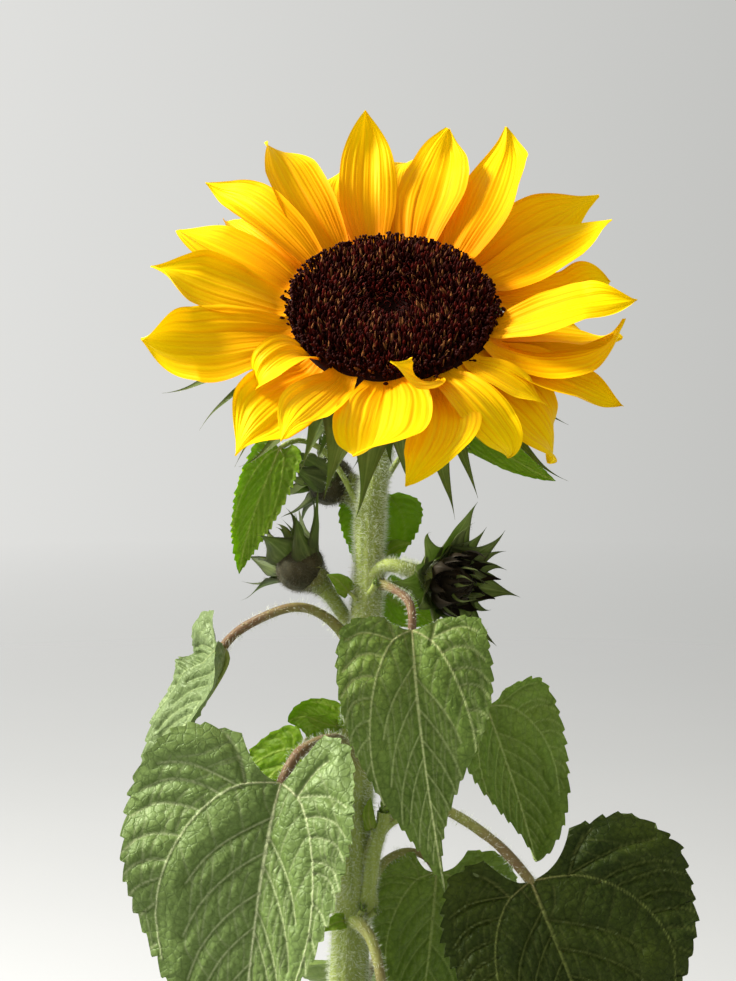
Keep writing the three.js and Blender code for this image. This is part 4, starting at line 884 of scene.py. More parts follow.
def bract_material(name, light, dark, rim, through, amount):
    """Bracts: lengthwise lines, a paler middle line, darker margins and a brown tip."""
    m = Mat(name)
    along, across, tone = m.attr("along"), m.attr("across"), m.attr("tone")
    c = m.node("ShaderNodeCombineXYZ")
    m.link(m.math("MULTIPLY", across, 6.0), c.inputs[0])
    m.link(m.math("MULTIPLY", along, 1.6), c.inputs[1])
    m.link(m.math("MULTIPLY", tone, 41.0), c.inputs[2])
    lines = m.noise(1.0, 3.0, 0.6, c.outputs[0])
    cloud = m.noise(150.0, 3.0, 0.6)
    f = m.math("ADD", m.math("MULTIPLY", lines, 0.55), m.math("MULTIPLY", cloud, 0.45))
    col = m.mix(m.ramp(f, [(0.38, 0.0), (0.64, 1.0)]), dark, light)
    side = m.math("ABSOLUTE", across)
    col = m.mix(m.math("MULTIPLY", m.ramp(side, [(0.0, 1.0), (0.13, 0.0)]), 0.45), col, tuple(min(1, x * 1.5 + 0.02) for x in light))
    col = m.mix(m.math("MULTIPLY", m.ramp(side, [(0.68, 0.0), (0.98, 1.0)]), 0.75), col, rim)
    col = m.mix(m.math("MULTIPLY", m.ramp(along, [(0.58, 0.0), (0.95, 1.0)]), 0.80), col, rim)
    nrm = m.bump(lines, 0.5, 0.0006)
    nrm = m.bump(m.noise(900.0, 3.0, 0.6), 0.25, 0.0004, nrm)
    return m.surface(col, m.ramp(cloud, [(0.3, 0.5), (0.7, 0.68)]), nrm, spec=0.3, tint=(0.85, 1.0, 0.6), sheen=0.06, sheen_tint=(0.85, 1.0, 0.6), through=through, amount=amount)


def stem_material(name, light, dark, foot, red=None):
    m = Mat(name)
    lines = m.noise(1.0, 4.0, 0.6, m.coords((420.0, 420.0, 16.0)))
    cloud = m.noise(55.0, 3.0, 0.6)
    f = m.math("ADD", m.math("MULTIPLY", lines, 0.6), m.math("MULTIPLY", cloud, 0.4))
    col = m.mix(m.ramp(f, [(0.38, 0.0), (0.62, 1.0)]), dark, light)
    if red is not None:
        blush = m.ramp(m.math("ADD", m.math("MULTIPLY", m.attr("red"), 0.9), m.math("MULTIPLY", m.math("SUBTRACT", cloud, 0.5), 0.7)), [(0.25, 0.0), (0.75, 1.0)])
        col = m.mix(blush, col, red)
    z = m.node("ShaderNodeSeparateXYZ")
    m.link(m.coords(), z.inputs[0])
    low = m.ramp(m.math("ADD", z.outputs[2], m.math("MULTIPLY", m.math("SUBTRACT", cloud, 0.5), 0.05)), [(0.0, 1.0), (0.055, 0.0)])
    col = m.mix(m.math("MULTIPLY", low, 0.85), col, foot)
    dots = m.voronoi(420.0, "F1")
    d = m.ramp(dots, [(0.12, 1.0), (0.26, 0.0)])
    col = m.mix(m.math("MULTIPLY", d, 0.16), col, tuple(min(1, c * 1.4 + 0.03) for c in light))
    nrm = m.bump(lines, 0.35, 0.0006)
    nrm = m.bump(d, 0.35, 0.0004, nrm)
    return m.surface(col, m.ramp(lines, [(0.3, 0.48), (0.7, 0.66)]), nrm, spec=0.35, tint=(0.9, 1.0, 0.6), sheen=0.10, sheen_rough=0.4, sheen_tint=(0.95, 1.0, 0.75), through=tuple(min(1, c * 1.2) for c in light), amount=0.10)


def hair_material(name, color):
    m = Mat(name)
    n = m.noise(300.0, 2.0, 0.5)
    col = m.mix(n, color, tuple(c * 0.8 for c in color))
    return m.surface(col, 0.45, None, spec=0.5, sheen=0.3, through=color, amount=0.45)


GREENS = {
    # name: light, dark, vein, painted shade in the grooves, light shining through, share of it, gloss
    "sage": ((0.166, 0.240, 0.062), (0.100, 0.154, 0.031), (0.78, 0.84, 0.46), (0.036, 0.066, 0.010), (0.30, 0.50, 0.03), 0.15, 0.48),
    "green": ((0.170, 0.250, 0.046), (0.094, 0.150, 0.023), (0.70, 0.78, 0.34), (0.026, 0.050, 0.006), (0.28, 0.48, 0.02), 0.18, 0.24),
    "deep": ((0.037, 0.053, 0.0040), (0.015, 0.026, 0.0022), (0.21, 0.25, 0.060), (0.005, 0.010, 0.001), (0.10, 0.20, 0.005), 0.12, 0.16),
    "mid": ((0.208, 0.294, 0.040), (0.120, 0.180, 0.021), (0.54, 0.64, 0.20), (0.034, 0.066, 0.006), (0.28, 0.50, 0.014), 0.24, 0.40),
    "bright": ((0.200, 0.300, 0.012), (0.120, 0.192, 0.007), (0.46, 0.58, 0.10), (0.046, 0.100, 0.003), (0.44, 0.74, 0.008), 0.42, 0.20),
    "pale": ((0.175, 0.235, 0.088), (0.108, 0.155, 0.046), (0.34, 0.42, 0.17), (0.048, 0.078, 0.018), (0.28, 0.48, 0.04), 0.15, 0.42),
}
TOP, UNDER = {}, {}
for key, (light, dark, vein, groove_shade, trans, amount, gloss) in GREENS.items():
    TOP[key] = leaf_material("leaf_top_" + key, light, dark, vein, groove_shade, trans, amount, spec=gloss)
    pale = lambda c, k: tuple(min(1, 0.62 * x + k * y) for x, y in zip(c, (0.120, 0.150, 0.060)))
    UNDER[key] = leaf_material("leaf_under_" + key, pale(light, 0.75), pale(dark, 0.7), pale(vein, 1.0), pale(groove_shade, 0.5), trans, amount, rough=(0.6, 0.8), sheen=0.15, relief=0.7, spec=0.3)

M_PETAL = petal_material()
M_STEM = stem_material("stem_green", (0.350, 0.410, 0.110), (0.215, 0.270, 0.052), (0.13, 0.095, 0.038))
M_STALK = stem_material("stalk_green", (0.340, 0.400, 0.100), (0.200, 0.255, 0.046), (0.13, 0.095, 0.038), red=(0.150, 0.078, 0.042))
LEAFY = dict(tint=(0.85, 1.0, 0.6))
M_BRACT = bract_material("bract_green", (0.150, 0.200, 0.042), (0.056, 0.086, 0.014), (0.052, 0.048, 0.016), (0.16, 0.32, 0.015), 0.15)
M_BACK = plain_material("receptacle_green", (0.130, 0.180, 0.035), (0.065, 0.100, 0.016), scale=90.0, spec=0.3, **LEAFY)
M_BUD = plain_material("bud_skin", (0.056, 0.044, 0.023), (0.022, 0.017, 0.009), scale=150.0, spec=0.25, sheen=0.15, **LEAFY)
M_DARK = plain_material("bud_inside", (0.020, 0.014, 0.007), (0.008, 0.006, 0.004), scale=220.0, spec=0.2, tint=(0.8, 0.7, 0.5))
M_TIP = bract_material("bud_bract", (0.200, 0.240, 0.070), (0.068, 0.090, 0.023), (0.026, 0.020, 0.010), (0.14, 0.26, 0.02), 0.12)
M_YOUNG = bract_material("young_leaf", (0.220, 0.300, 0.060), (0.115, 0.175, 0.026), (0.085, 0.095, 0.022), (0.30, 0.52, 0.02), 0.25)
REDDISH = dict(tint=(0.85, 0.35, 0.25))
M_DISC = plain_material("disc_ground", (0.012, 0.003, 0.0025), (0.005, 0.002, 0.002), scale=400.0, rough=(0.6, 0.8), spec=0.15, **REDDISH)
M_FLORET = {
    "dark": plain_material("floret_dark", (0.026, 0.0024, 0.0016), (0.011, 0.0012, 0.0009), scale=500.0, rough=(0.5, 0.7), spec=0.10, **REDDISH),
    "red": plain_material("floret_red", (0.095, 0.0062, 0.0036), (0.046, 0.0036, 0.0022), scale=500.0, rough=(0.5, 0.7), spec=0.12, **REDDISH),
    "tan": plain_material("floret_tan", (0.300, 0.118, 0.036), (0.140, 0.050, 0.015), scale=500.0, rough=(0.5, 0.7), spec=0.2, **REDDISH),
    "rim": plain_material("floret_rim", (0.026, 0.0024, 0.0016), (0.011, 0.0012, 0.0009), scale=500.0, rough=(0.5, 0.7), spec=0.12, **REDDISH),
}
M_HAIR = hair_material("fine_hair", (0.80, 0.84, 0.68))
M_HAIR_DARK = hair_material("bud_hair", (0.135, 0.115, 0.068))
M_TIP_DARK = bract_material("bud_bract_dark", (0.105, 0.130, 0.038), (0.034, 0.046, 0.013), (0.020, 0.018, 0.009), (0.12, 0.22, 0.02), 0.10)

hair_white, hair_stem, hair_bud = Joined(), Joined(), Joined()

# ------------------------------------------------------------------ main stem
NODES_ON_STEM = []
for leaf in list(BIG_LEAVES.values()) + list(SMALL_LEAVES.values()):
    NODES_ON_STEM.append((leaf["pet"][0], leaf["pet"][1], leaf["rad"][0]))


def lower_leaf(k):
    az = math.radians(LOWER["first_azimuth"] + LOWER["turn"] * k)
    d = np.array([math.sin(az), -math.cos(az), 0])
    z, L = LOWER["heights"][k], LOWER["lengths"][k]
    at = lambda out, up: list(d * out + np.array([0, 0, z + up]))
    return dict(
        pet=[at(2, -3), at(15, 10), at(32, 17), at(48, 15), at(60, 8)],
        mid=[at(60, 8), at(60 + 0.29 * L, 8 - 0.14 * L), at(60 + 0.54 * L, 8 - 0.36 * L), at(60 + 0.7 * L, 8 - 0.66 * L)],
        rad=[2.6, 1.9], W=LOWER["widths"][k], sides=[1, 1], n0=list(0.35 * d + np.array([0, 0, 0.94])), n1=list(0.85 * d + np.array([0, 0, 0.5])),
        fold=[6, 6], curl=[-14, -14], back=0.003, wave=[2.4, 2.2, 0.13 * k], lobe=[1.1, 1.1], taper=[1.0, 1.0], sinus=[1.1, 1.1])


LOWER_LEAVES = [lower_leaf(k) for k in range(len(LOWER["heights"]))]
for leaf in LOWER_LEAVES:
    NODES_ON_STEM.append((leaf["pet"][0], leaf["pet"][1], leaf["rad"][0]))


def stem_radius(t, th, c):
    z = c[..., 2]
    r = interp(STEM_RADII, z)
    flare = np.clip(1 - z / 14, 0, 1)
    r = r * (1 + 0.14 * flare * np.cos(5 * th))
    rib = 0.17 * np.cos(11 * th + 0.9 * np.sin(z / 41.0)) + 0.07 * np.cos(23 * th - 0.6 * np.sin(z / 29.0))
    r = r + rib * np.clip(z / 20, 0.3, 1) * np.clip((535 - z) / 30, 0.3, 1)
    for p0, p1, rr in NODES_ON_STEM:
        az = math.atan2(p1[1] - p0[1], p1[0] - p0[0])
        dz = z - p0[2]
        dth = np.angle(np.exp(1j * (th - az)))
        r = r + 0.60 * rr * np.exp(-((dz / 6.0) ** 2)) * np.exp(-((dth / 0.65) ** 2)) + 0.16 * np.exp(-((dz / 4.0) ** 2))
    return r


SR, SS = ((300, 48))
v, out, stem = tube(STEM_LINE, SR, SS, stem_radius, fixed=[1, 0, 0])
v = v + out * (0.32 * vnoise(v, 15.0, 3) + 0.10 * vnoise(v, 4.0, 4))[..., None]
v[0, :, 2] = 0.0
foot = v[0].mean(0)
left = stem["length"] * (1 - stem["t"])
v = v + out * (2.1 * np.exp(-left / 4.5) * np.clip((26 - left) / 6, 0, 1))[:, None, None]
on = np.array([0.7, 1.5, 2.4, 3.4, 4.6])
grow = 2.1 * (np.exp(on / 4.5) - 1)
v = np.concatenate([v, v[-1][None] + on[:, None, None] * stem["tg"][-1] + grow[:, None, None] * out[-1][None]])
SR = len(v)
n = SR * SS
verts = np.concatenate([v.reshape(-1, 3), [foot], [v[-1].mean(0)]])
k = np.arange(SS)
caps = np.concatenate([np.stack([(k + 1) % SS, k, np.full(SS, n)], 1), np.stack([(SR - 1) * SS + k, (SR - 1) * SS + (k + 1) % SS, np.full(SS, n + 1)], 1)])
make("main_stem", verts, [ring_faces(SR, SS), caps], M_STEM, node="stem", slot="stem_green")
hairs_on_tube(hair_stem, stem, 0.50, RNG, length=(0.8, 2.0), t0=0.03, t1=0.55, droop=0.05)
hairs_on_tube(hair_stem, stem, 2.5, RNG, length=(1.0, 3.0), t0=0.50, t1=0.97, droop=0.03, width=0.15)


# ------------------------------------------------------------------ leaves with their stalks
def stalk_piece(name, leaf, node, rings=54, sides=14, red=1.0, keel=True, dense=0.55, deep=2.15):
    b = bezier(leaf["mid"])
    pts = [np.array(p, float) for p in leaf["pet"]]
    r0, r1 = leaf["rad"]
    nn = np.array(leaf["n0"], float)
    along = unit(bezier_slope(b, np.array(0.0)))
    up = unit(nn - (nn @ along) * along)
    cut = 1.0
    if keel:
        pts[-1] = pts[-1] - up * 0.75 * r1
        for t in (0.07, 0.18, 0.34, 0.52):
            bt = unit(bezier_slope(b, np.array(t)))
            nt = np.array(leaf["n0"], float) * (1 - t) + np.array(leaf["n1"], float) * t
            ut = unit(nt - (nt @ bt) * bt)
            rt = r1 + (0.3 - r1) * (t / 0.52) ** 0.6
            pts.append(bezier_point(b, np.array(t)) - ut * (rt + deep - 0.7 * t))
        full = line_samples(pts, 200)[1]
        cut = line_samples(pts[: len(leaf["pet"])], 100)[1] / full

    def radius(t, th, c):
        r = r0 + (r1 - r0) * np.clip(t / cut, 0, 1)
        r = np.where(t > cut, r1 + (0.28 - r1) * np.clip((t - cut) / (1.0001 - cut), 0, 1) ** 0.6, r)
        base = np.exp(-((t / cut / 0.13) ** 2))
        return r * (1 + 0.45 * base) * (1 + 0.05 * np.cos(7 * th))

    v, out, info = tube(pts, rings, sides, radius)
    v = v - out * (0.22 * info["r"] * np.exp(-(((1 - out[..., 2]) / 0.22) ** 2)) * np.clip((cut - info["t"]) * 8, 0, 1)[:, None])[..., None]
    v = v + out * (0.16 * vnoise(v, 5.0, 8))[..., None]
    t = np.repeat(info["t"], sides)
    redness = red * np.clip(0.36 + 0.68 * np.clip(t / max(cut, 1e-3), 0, 1) ** 0.7, 0, 1) * np.clip((1.10 * cut - t) * 14, 0, 1)
    make(name, v.reshape(-1, 3), ring_faces(rings, sides), M_STALK, attrs=dict(red=redness), uv=tube_uv(rings, sides), node=node, slot="stem_green" if node and node.startswith("petiole") else "leaf_green")
    hairs_on_tube(hair_white, info, dense, RNG, length=(1.0, 2.5), t0=0.02, t1=min(1.0, cut * 1.05), width=0.13)


def margin_hairs(joined, grid, nrm, rng, count, length=(0.5, 1.1)):
    """Hairs along the sinus edge of a blade."""
    row = grid[0]
    i = rng.integers(1, row.shape[0] - 1, count)
    d = unit(row[i] - grid[3, i])
    hairs(joined, row[i], d, rng.uniform(*length, count), rng, width=0.07)


LOOK = {
    # name: (rows, columns), colour, seed, relief, tooth
    "front_left": ((224, 200), "sage", 11, 1.10, 2.3),
    "centre": ((206, 122), "green", 12, 0.80, 1.3),
    "mid_right": ((160, 116), "mid", 13, 0.90, 1.7),
    "lower_right": ((176, 156), "deep", 14, 1.25, 2.7),
    "lower_centre": ((140, 100), "mid", 15, 0.90, 1.4),
    "left": ((150, 100), "pale", 16, 1.00, 1.8),
    "behind_left": ((110, 80), "bright", 17, 0.90, 1.5),
    "upper_left": ((110, 64), "bright", 21, 0.85, 1.5),
    "upper_back": ((90, 52), "bright", 22, 0.75, 1.3),
    "upper_right": ((60, 34), "bright", 23, 0.50, 0.5),
    "bud_leaf": ((50, 30), "bright", 24, 0.45, 0.4),
    "axil_left": ((60, 34), "bright", 25, 0.50, 0.6),
    "under": ((120, 90), "mid", 26, 0.95, 1.8),
}
for name, leaf in list(BIG_LEAVES.items()) + list(SMALL_LEAVES.items()):
    (nu, nv), look, seed, relief, tooth = LOOK[name]
    small = name in SMALL_LEAVES and name != "under"
    _, g = leaf_piece("blade_" + name, leaf, nu, nv, [TOP[look], UNDER[look]], node="leaf_" + name, seed=seed, relief=relief, tooth=tooth, tooth_step=3.4 if small else 7.0 if name in ("lower_right", "front_left") else 5.6)
    own = name in BIG_LEAVES
    stalk_piece("stalk_" + name, leaf, ("petiole_" if own else "leaf_") + name, rings=54 if not small else 30, sides=14 if not small else 10, red=0.15 if small else {"centre": 1.2, "left": 0.9, "front_left": 0.85}.get(name, 0.75), dense=1.0, deep=1.7 if small else 2.15)
    margin_hairs(hair_white, g["top"], g["n"], RNG, 20 if small else 90)
for k, leaf in enumerate(LOWER_LEAVES):
    _, g = leaf_piece("blade_lower_%d" % (k + 1), leaf, 100, 76, [TOP["mid"], UNDER["mid"]], node="leaf_lower_%d" % (k + 1), seed=31 + k, relief=0.95, tooth=1.8)
    stalk_piece("stalk_lower_%d" % (k + 1), leaf, "leaf_lower_%d" % (k + 1), red=0.7)
    margin_hairs(hair_white, g["top"], g["n"], RNG, 50)

# ------------------------------------------------------------------ petals
PU, PV = ((54, 72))
for i, (phi, lift0, lift1, yaw, length, width, roll0, roll, row) in enumerate(PETALS):
    rng = np.random.default_rng(500 + i)
    line = ray_line(HEAD, HEAD_CENTRE, RAY_ROW_RADIUS[row], RAY_ROW_HEIGHT[row], phi, lift0, lift1, yaw, length, roll0, roll, PU)
    s, v = line[0], np.linspace(-1, 1, PV)
    k = width / 24
    # the free end bends a little further, up or down and to one side
    end = np.clip((s - 0.45) / 0.55, 0, 1) ** 2.2
    bend, sway = rng.uniform(-0.07, 0.06), rng.uniform(-0.085, 0.085)
    hook = rng.uniform(-0.07, 0.09) * np.clip((s - 0.80) / 0.20, 0, 1) ** 2
    mid = line[1] + (line[4] * (bend * end + hook)[:, None] + line[3] * (sway * end)[:, None]) * length
    line = (s, mid, line[2], line[3], line[4])
    twist = np.random.default_rng(900 + i)
    spin = math.radians(twist.uniform(25, 80) * twist.choice([-1, 1])) * np.clip((s - 0.66) / 0.34, 0, 1) ** 1.4
    curl = twist.uniform(-0.05, 0.07) * np.clip((s - 0.74) / 0.26, 0, 1) ** 1.8
    ca_, sa_ = np.cos(spin)[:, None], np.sin(spin)[:, None]
    mid = mid + HEAD[0] * ((1.8, 3.0)[row] * np.clip(1 - s / 0.10, 0, 1) ** 1.5)[:, None]
    line = (s, mid + (line[4] * curl[:, None]) * length, line[2], ca_ * line[3] + sa_ * line[4], ca_ * line[4] - sa_ * line[3])
    thin = rng.uniform(0.12, 0.55)
    if twist.uniform() < 0.5:
        thin = twist.uniform(-0.30, 0.04)
    edge = (1 + 0.025 * vnoise(np.stack([s * 7 + i * 3.1, s * 0 + 5, s * 0], 1), 1.0, 5)) * (1 - thin * np.clip((s - 0.62) / 0.30, 0, 1) ** 1.5 * (s < 1))
    shape = lambda x: ray_shape(x) * edge
    p, w = ray_surface(line, width * 1.17, rng.uniform(3, 18), shape, v, 0.4)
    up = line[4][:, None]
    nrm = normals_of(p)
    nrm = nrm * np.sign((nrm * up).sum(-1).mean())
    S, V = np.meshgrid(s, v, indexing="ij")
    ph = rng.uniform(0, TAU, 10)
    wob = 0.22 * np.sin(TAU * (0.6 * S) + ph[5]) + 0.22 * vnoise(np.stack([1.5 * V, 1.2 * S, 0 * S + 3.7 * i], -1), 1.0, 9)
    tipward = np.clip((1 - S) / 0.30, 0, 1) ** 0.8
    grow = np.clip(S / 0.12, 0, 1) * tipward
    mask = 0.5 + 0.5 * vnoise(np.stack([1.4 * V, 1.0 * S, 0 * S + 7.1 * i], -1), 1.0, 17)
    h = 0.75 * k * np.sin(TAU * 0.85 * (V + 0.16 * np.sin(ph[6]) * V * V) + ph[0] + wob) * np.clip(S / 0.12, 0, 1) * (0.35 + 0.65 * tipward)
    h += 0.36 * k * np.sin(TAU * 2.4 * V + ph[1] + 1.3 * wob) * grow * mask
    crest = np.abs(np.sin(math.pi * rng.uniform(3.4, 4.6) * (V + 0.06 * np.sin(3.1 * V + ph[7])) + ph[4] + 1.5 * wob)) ** 0.75
    small = np.abs(np.sin(math.pi * rng.uniform(7.0, 8.6) * V + ph[8] + 2.2 * wob)) ** 0.8
    h += 0.32 * k * (crest - 0.6) * grow * (0.55 + 0.45 * mask) + 0.20 * k * small * grow * tipward
    # painted shade: the valleys between the ridges, coloured darker orange in the material
    valley_shade = (0.9 * (1 - crest) ** 1.6 + 0.75 * (1 - small) ** 1.7 * tipward) * grow
    for sgn, q in ((1, ph[2]), (-1, ph[3])):
        h += np.where(V * sgn > 0, 1, 0) * np.abs(V) ** 2.2 * k * (rng.uniform(0.8, 2.6) * np.sin(TAU * rng.uniform(0.6, 1.2) * S + q)) * np.clip(S * 2, 0, 1) * (0.3 + 0.7 * tipward)
    h += 1.1 * k * vnoise(p, 17.0, 40 + i)
    p = p + nrm * h[..., None]
    # tone: a random share per petal plus painted light and shade by place round the head: the lower and right petals
    # lighter and more lemon, the top and upper-right ones darker and more orange, the left ones lifted a little
    tone = np.full(p.shape[:2], np.clip(0.54 + 0.36 * math.cos(math.radians(phi + 50)) - 0.34 * math.exp(-(((phi - 58) / 30) ** 2)) + 0.30 * math.exp(-((((phi - 180 + 180) % 360 - 180) / 34) ** 2)) + rng.uniform(-0.18, 0.18), 0, 1))
    uv = np.stack([0.02 + 0.96 * (V + 1) / 2, 0.02 + 0.96 * S], -1)
    make("ray_petal_%02d" % (i + 1), p.reshape(-1, 3), grid_faces(PU, PV), M_PETAL, attrs=dict(along=S, across=V, tone=tone, valley_shade=valley_shade), uv=uv, node="petal_%02d" % (i + 1), slot="petal_yellow")

# ------------------------------------------------------------------ disc
n, e1, e2 = HEAD
DR, DS = 44, 96
rr = np.concatenate([np.linspace(0.4, DISC_R, DR - 3), [DISC_R, DISC_R - 0.6, 30]])
hh = np.concatenate([interp(DOME, rr[: DR - 3]), [-4.6, -5.6, -5.6]])
ph = np.linspace(0, TAU, DS, endpoint=False)
R2, P2 = np.meshgrid(rr, ph, indexing="ij")
p = head_point(R2, P2, np.repeat(hh[:, None], DS, 1) - 0.8 - 2.2 * np.exp(-((R2 / 6.0) ** 2)))
p = p + n * (0.35 * vnoise(p, 2.2, 60))[..., None]
make("disc_ground", p.reshape(-1, 3), ring_faces(DR, DS), M_DISC, node="disc", slot="disc_brown")

rng = np.random.default_rng(90)
COUNT = 1780
idx = np.arange(COUNT) + 0.5
step = 37.9 / math.sqrt(COUNT)
fr_ = step * np.sqrt(idx)
fa = idx * math.radians(137.50776)
fr_ = fr_ + rng.normal(0, 0.12, COUNT)
fa = fa + rng.normal(0, 0.10, COUNT) / np.maximum(fr_, 2)
base = head_point(fr_, fa, interp(DOME, fr_) - 0.8 - 2.6 * np.exp(-((fr_ / 6.5) ** 2)))
er = np.cos(fa)[:, None] * e1 + np.sin(fa)[:, None] * e2
tilt = np.radians(-20 + 42 * (fr_ / DISC_R) ** 2)[:, None] + rng.normal(0, 0.14, (COUNT, 1))
d = unit(np.cos(tilt) * n + np.sin(tilt) * er + 0.10 * rng.normal(size=(COUNT, 3)))
fr = frames_for(d, rng)
big = 1.0
bud_v, bud_f = rod([(0.42, -0.6), (0.60, 0.9), (0.62, 1.9), (0.40, 2.7), (0.14, 3.1)], 5)
scale_v, scale_f = rod([(0.45, -0.4), (0.52, 1.3), (0.36, 2.5), (0.10, 3.6)], 4)
scale_v = scale_v * [1.0, 0.45, 1.0]
tube_v, tube_f = rod([(0.38, -0.6), (0.42, 1.2), (0.58, 1.9), (0.52, 3.2), (0.36, 3.9)], 6)
kind = rng.choice(["dark", "red", "tan"], COUNT, p=[0.62, 0.25, 0.13])
rim = fr_ > 0.925 * DISC_R
size = rng.uniform(0.85, 1.2, (COUNT, 1)) * big * (0.42 + 0.58 * np.clip((fr_ - 3.5) / 6.5, 0, 1))[:, None]
joined = {k: Joined() for k in M_FLORET}
for k in ("dark", "red", "tan"):
    on = (kind == k) & ~rim
    tv, tf = (bud_v, bud_f) if k != "tan" else (scale_v, scale_f)
    sc = np.concatenate([size[on], size[on], size[on] * rng.uniform(0.85, 1.25, (on.sum(), 1))], 1)
    joined[k].add(*copies(tv, tf, base[on], fr[on], sc))
# pointed chaffy scales sit beside many of the florets, some of them dry and light
kind[(fr_ < 6.5) & (kind == "tan")] = "dark"
sc_at = head_point(fr_ + 0.55, fa, interp(DOME, fr_) - 0.8 - 2.6 * np.exp(-((fr_ / 6.5) ** 2)))
for k, share in (("dark", 0.45), ("tan", 0.17), ("red", 0.20)):
    on = rng.uniform(size=COUNT) < share
    on &= (fr_ < 0.95 * DISC_R) & (fr_ > (6.0 if k == "tan" else 0.0))
    sc = size[on] * rng.uniform(0.8, 1.25, (on.sum(), 1)) * np.ones(3)
    joined[k].add(*copies(scale_v, scale_f, sc_at[on], frames_for(unit(d[on] + 0.22 * rng.normal(size=(on.sum(), 3))), rng), sc * [1, 1, 1.05]))
# open florets round the rim, each with a tube and a curled two-armed tip
on = rim
joined["rim"].add(*copies(tube_v, tube_f, base[on], fr[on], size[on] * np.ones(3)))
ball_v, ball_f = rod([(0.22, -0.55), (0.50, -0.2), (0.53, 0.25), (0.28, 0.55)], 6)
tips = base[on] + d[on] * (3.9 * size[on])
for side in (-1, 1):
    at = tips + fr[on][:, 0] * side * 0.55
    joined["rim"].add(*copies(ball_v, ball_f, at, frames_for(rng.normal(size=(on.sum(), 3)), rng), size[on] * rng.uniform(0.7, 1.15, (on.sum(), 1)) * np.ones(3)))
# loose dark tips that lean out over the petals
loose = 46
la = rng.uniform(0, TAU, loose)
lr = rng.uniform(38.4, 41.5, loose)
lat = head_point(lr, la, rng.uniform(1.0, 4.6, loose))
joined["rim"].add(*copies(ball_v, ball_f, lat, frames_for(rng.normal(size=(loose, 3)), rng), rng.uniform(0.8, 1.25, (loose, 1)) * np.array([[1, 1, 1.5]])))
lb = head_point(lr - 3.0, la, np.full(loose, 0.6))
dirs = unit(lat - lb)
long = np.linalg.norm(lat - lb, axis=1)
stick_v, stick_f = rod([(0.28, 0), (0.26, 0.5), (0.24, 1.0)], 4)
joined["rim"].add(*copies(stick_v, stick_f, lb, frames_for(dirs, rng), np.stack([np.ones(loose), np.ones(loose), long], 1)))
# fine reddish curls near the middle
curls = 60
ca, cr_ = rng.uniform(0, TAU, curls), rng.uniform(2.0, 15.0, curls)
cb = head_point(cr_, ca, interp(DOME, cr_) + 1.2)
th = np.linspace(0, 1, 6)
for q in range(curls):
    a, b, c = frames_for(unit(n + 0.8 * rng.normal(size=3))[None], rng)[0]
    rad_, turn = rng.uniform(0.7, 1.3), rng.uniform(2.5, 5.0)
    pts = cb[q] + rad_ * (np.cos(turn * th)[:, None] - 1) * a + rad_ * np.sin(turn * th)[:, None] * c + 0.5 * th[:, None] * b
    vv, _, inf = tube(pts, 7, 3, lambda t, h, c: 0.17 * (1 - 0.5 * t))
    joined["red"].add(vv, ring_faces(7, 3))
for k, j in joined.items():
    j.f = [np.concatenate([f[:, :3], f[:, [0, 2, 3]]]) if f.shape[1] == 4 else f for f in j.f]
    j.piece("florets_" + k, M_FLORET[k], slot="disc_brown", smooth=True)

# ------------------------------------------------------------------ back of the head and its green bracts
prof = np.array(RECEPTACLE_PROFILE, float)
tt = np.linspace(0, 1, 34)
cum = np.concatenate([[0], np.cumsum(np.linalg.norm(np.diff(prof, axis=0), axis=1))])
pr = np.interp(tt * cum[-1], cum, prof[:, 0])
phh = np.interp(tt * cum[-1], cum, prof[:, 1])
AS = 72
A2 = np.linspace(0, TAU, AS, endpoint=False)
RR, AA = np.meshgrid(pr, A2, indexing="ij")
p = head_point(RR * (1 + 0.018 * np.cos(21 * AA)) - 0.3, AA, np.repeat(phh[:, None], AS, 1))
p = p + (unit(p - (HEAD_CENTRE + 4 * n)) * (0.5 * vnoise(p, 7.0, 61))[..., None])
rim_top = -4.7 + 3.7 * np.clip(0.5 + 0.75 * np.sin(A2), 0, 1)
p = np.concatenate([p, head_point(np.full((1, AS), 38.5), A2[None], np.full((1, AS), -5.8)), head_point(np.full((1, AS), 38.65), A2[None], rim_top[None])])
make("head_back", p.reshape(-1, 3), ring_faces(36, AS)[:, ::-1], M_BACK, node="receptacle", slot="bract_green", uv=tube_uv(36, AS))


def tip_shape(s):
    x = np.clip((s - 0.20) / 0.80, 0, 1)
    return (0.74 + 0.26 * np.sin(math.pi / 2 * np.minimum(1, s / 0.20))) * ((1 - x) ** 1.65 * 0.93 + 0.07 * (1 - x) ** 0.9) + 0.002


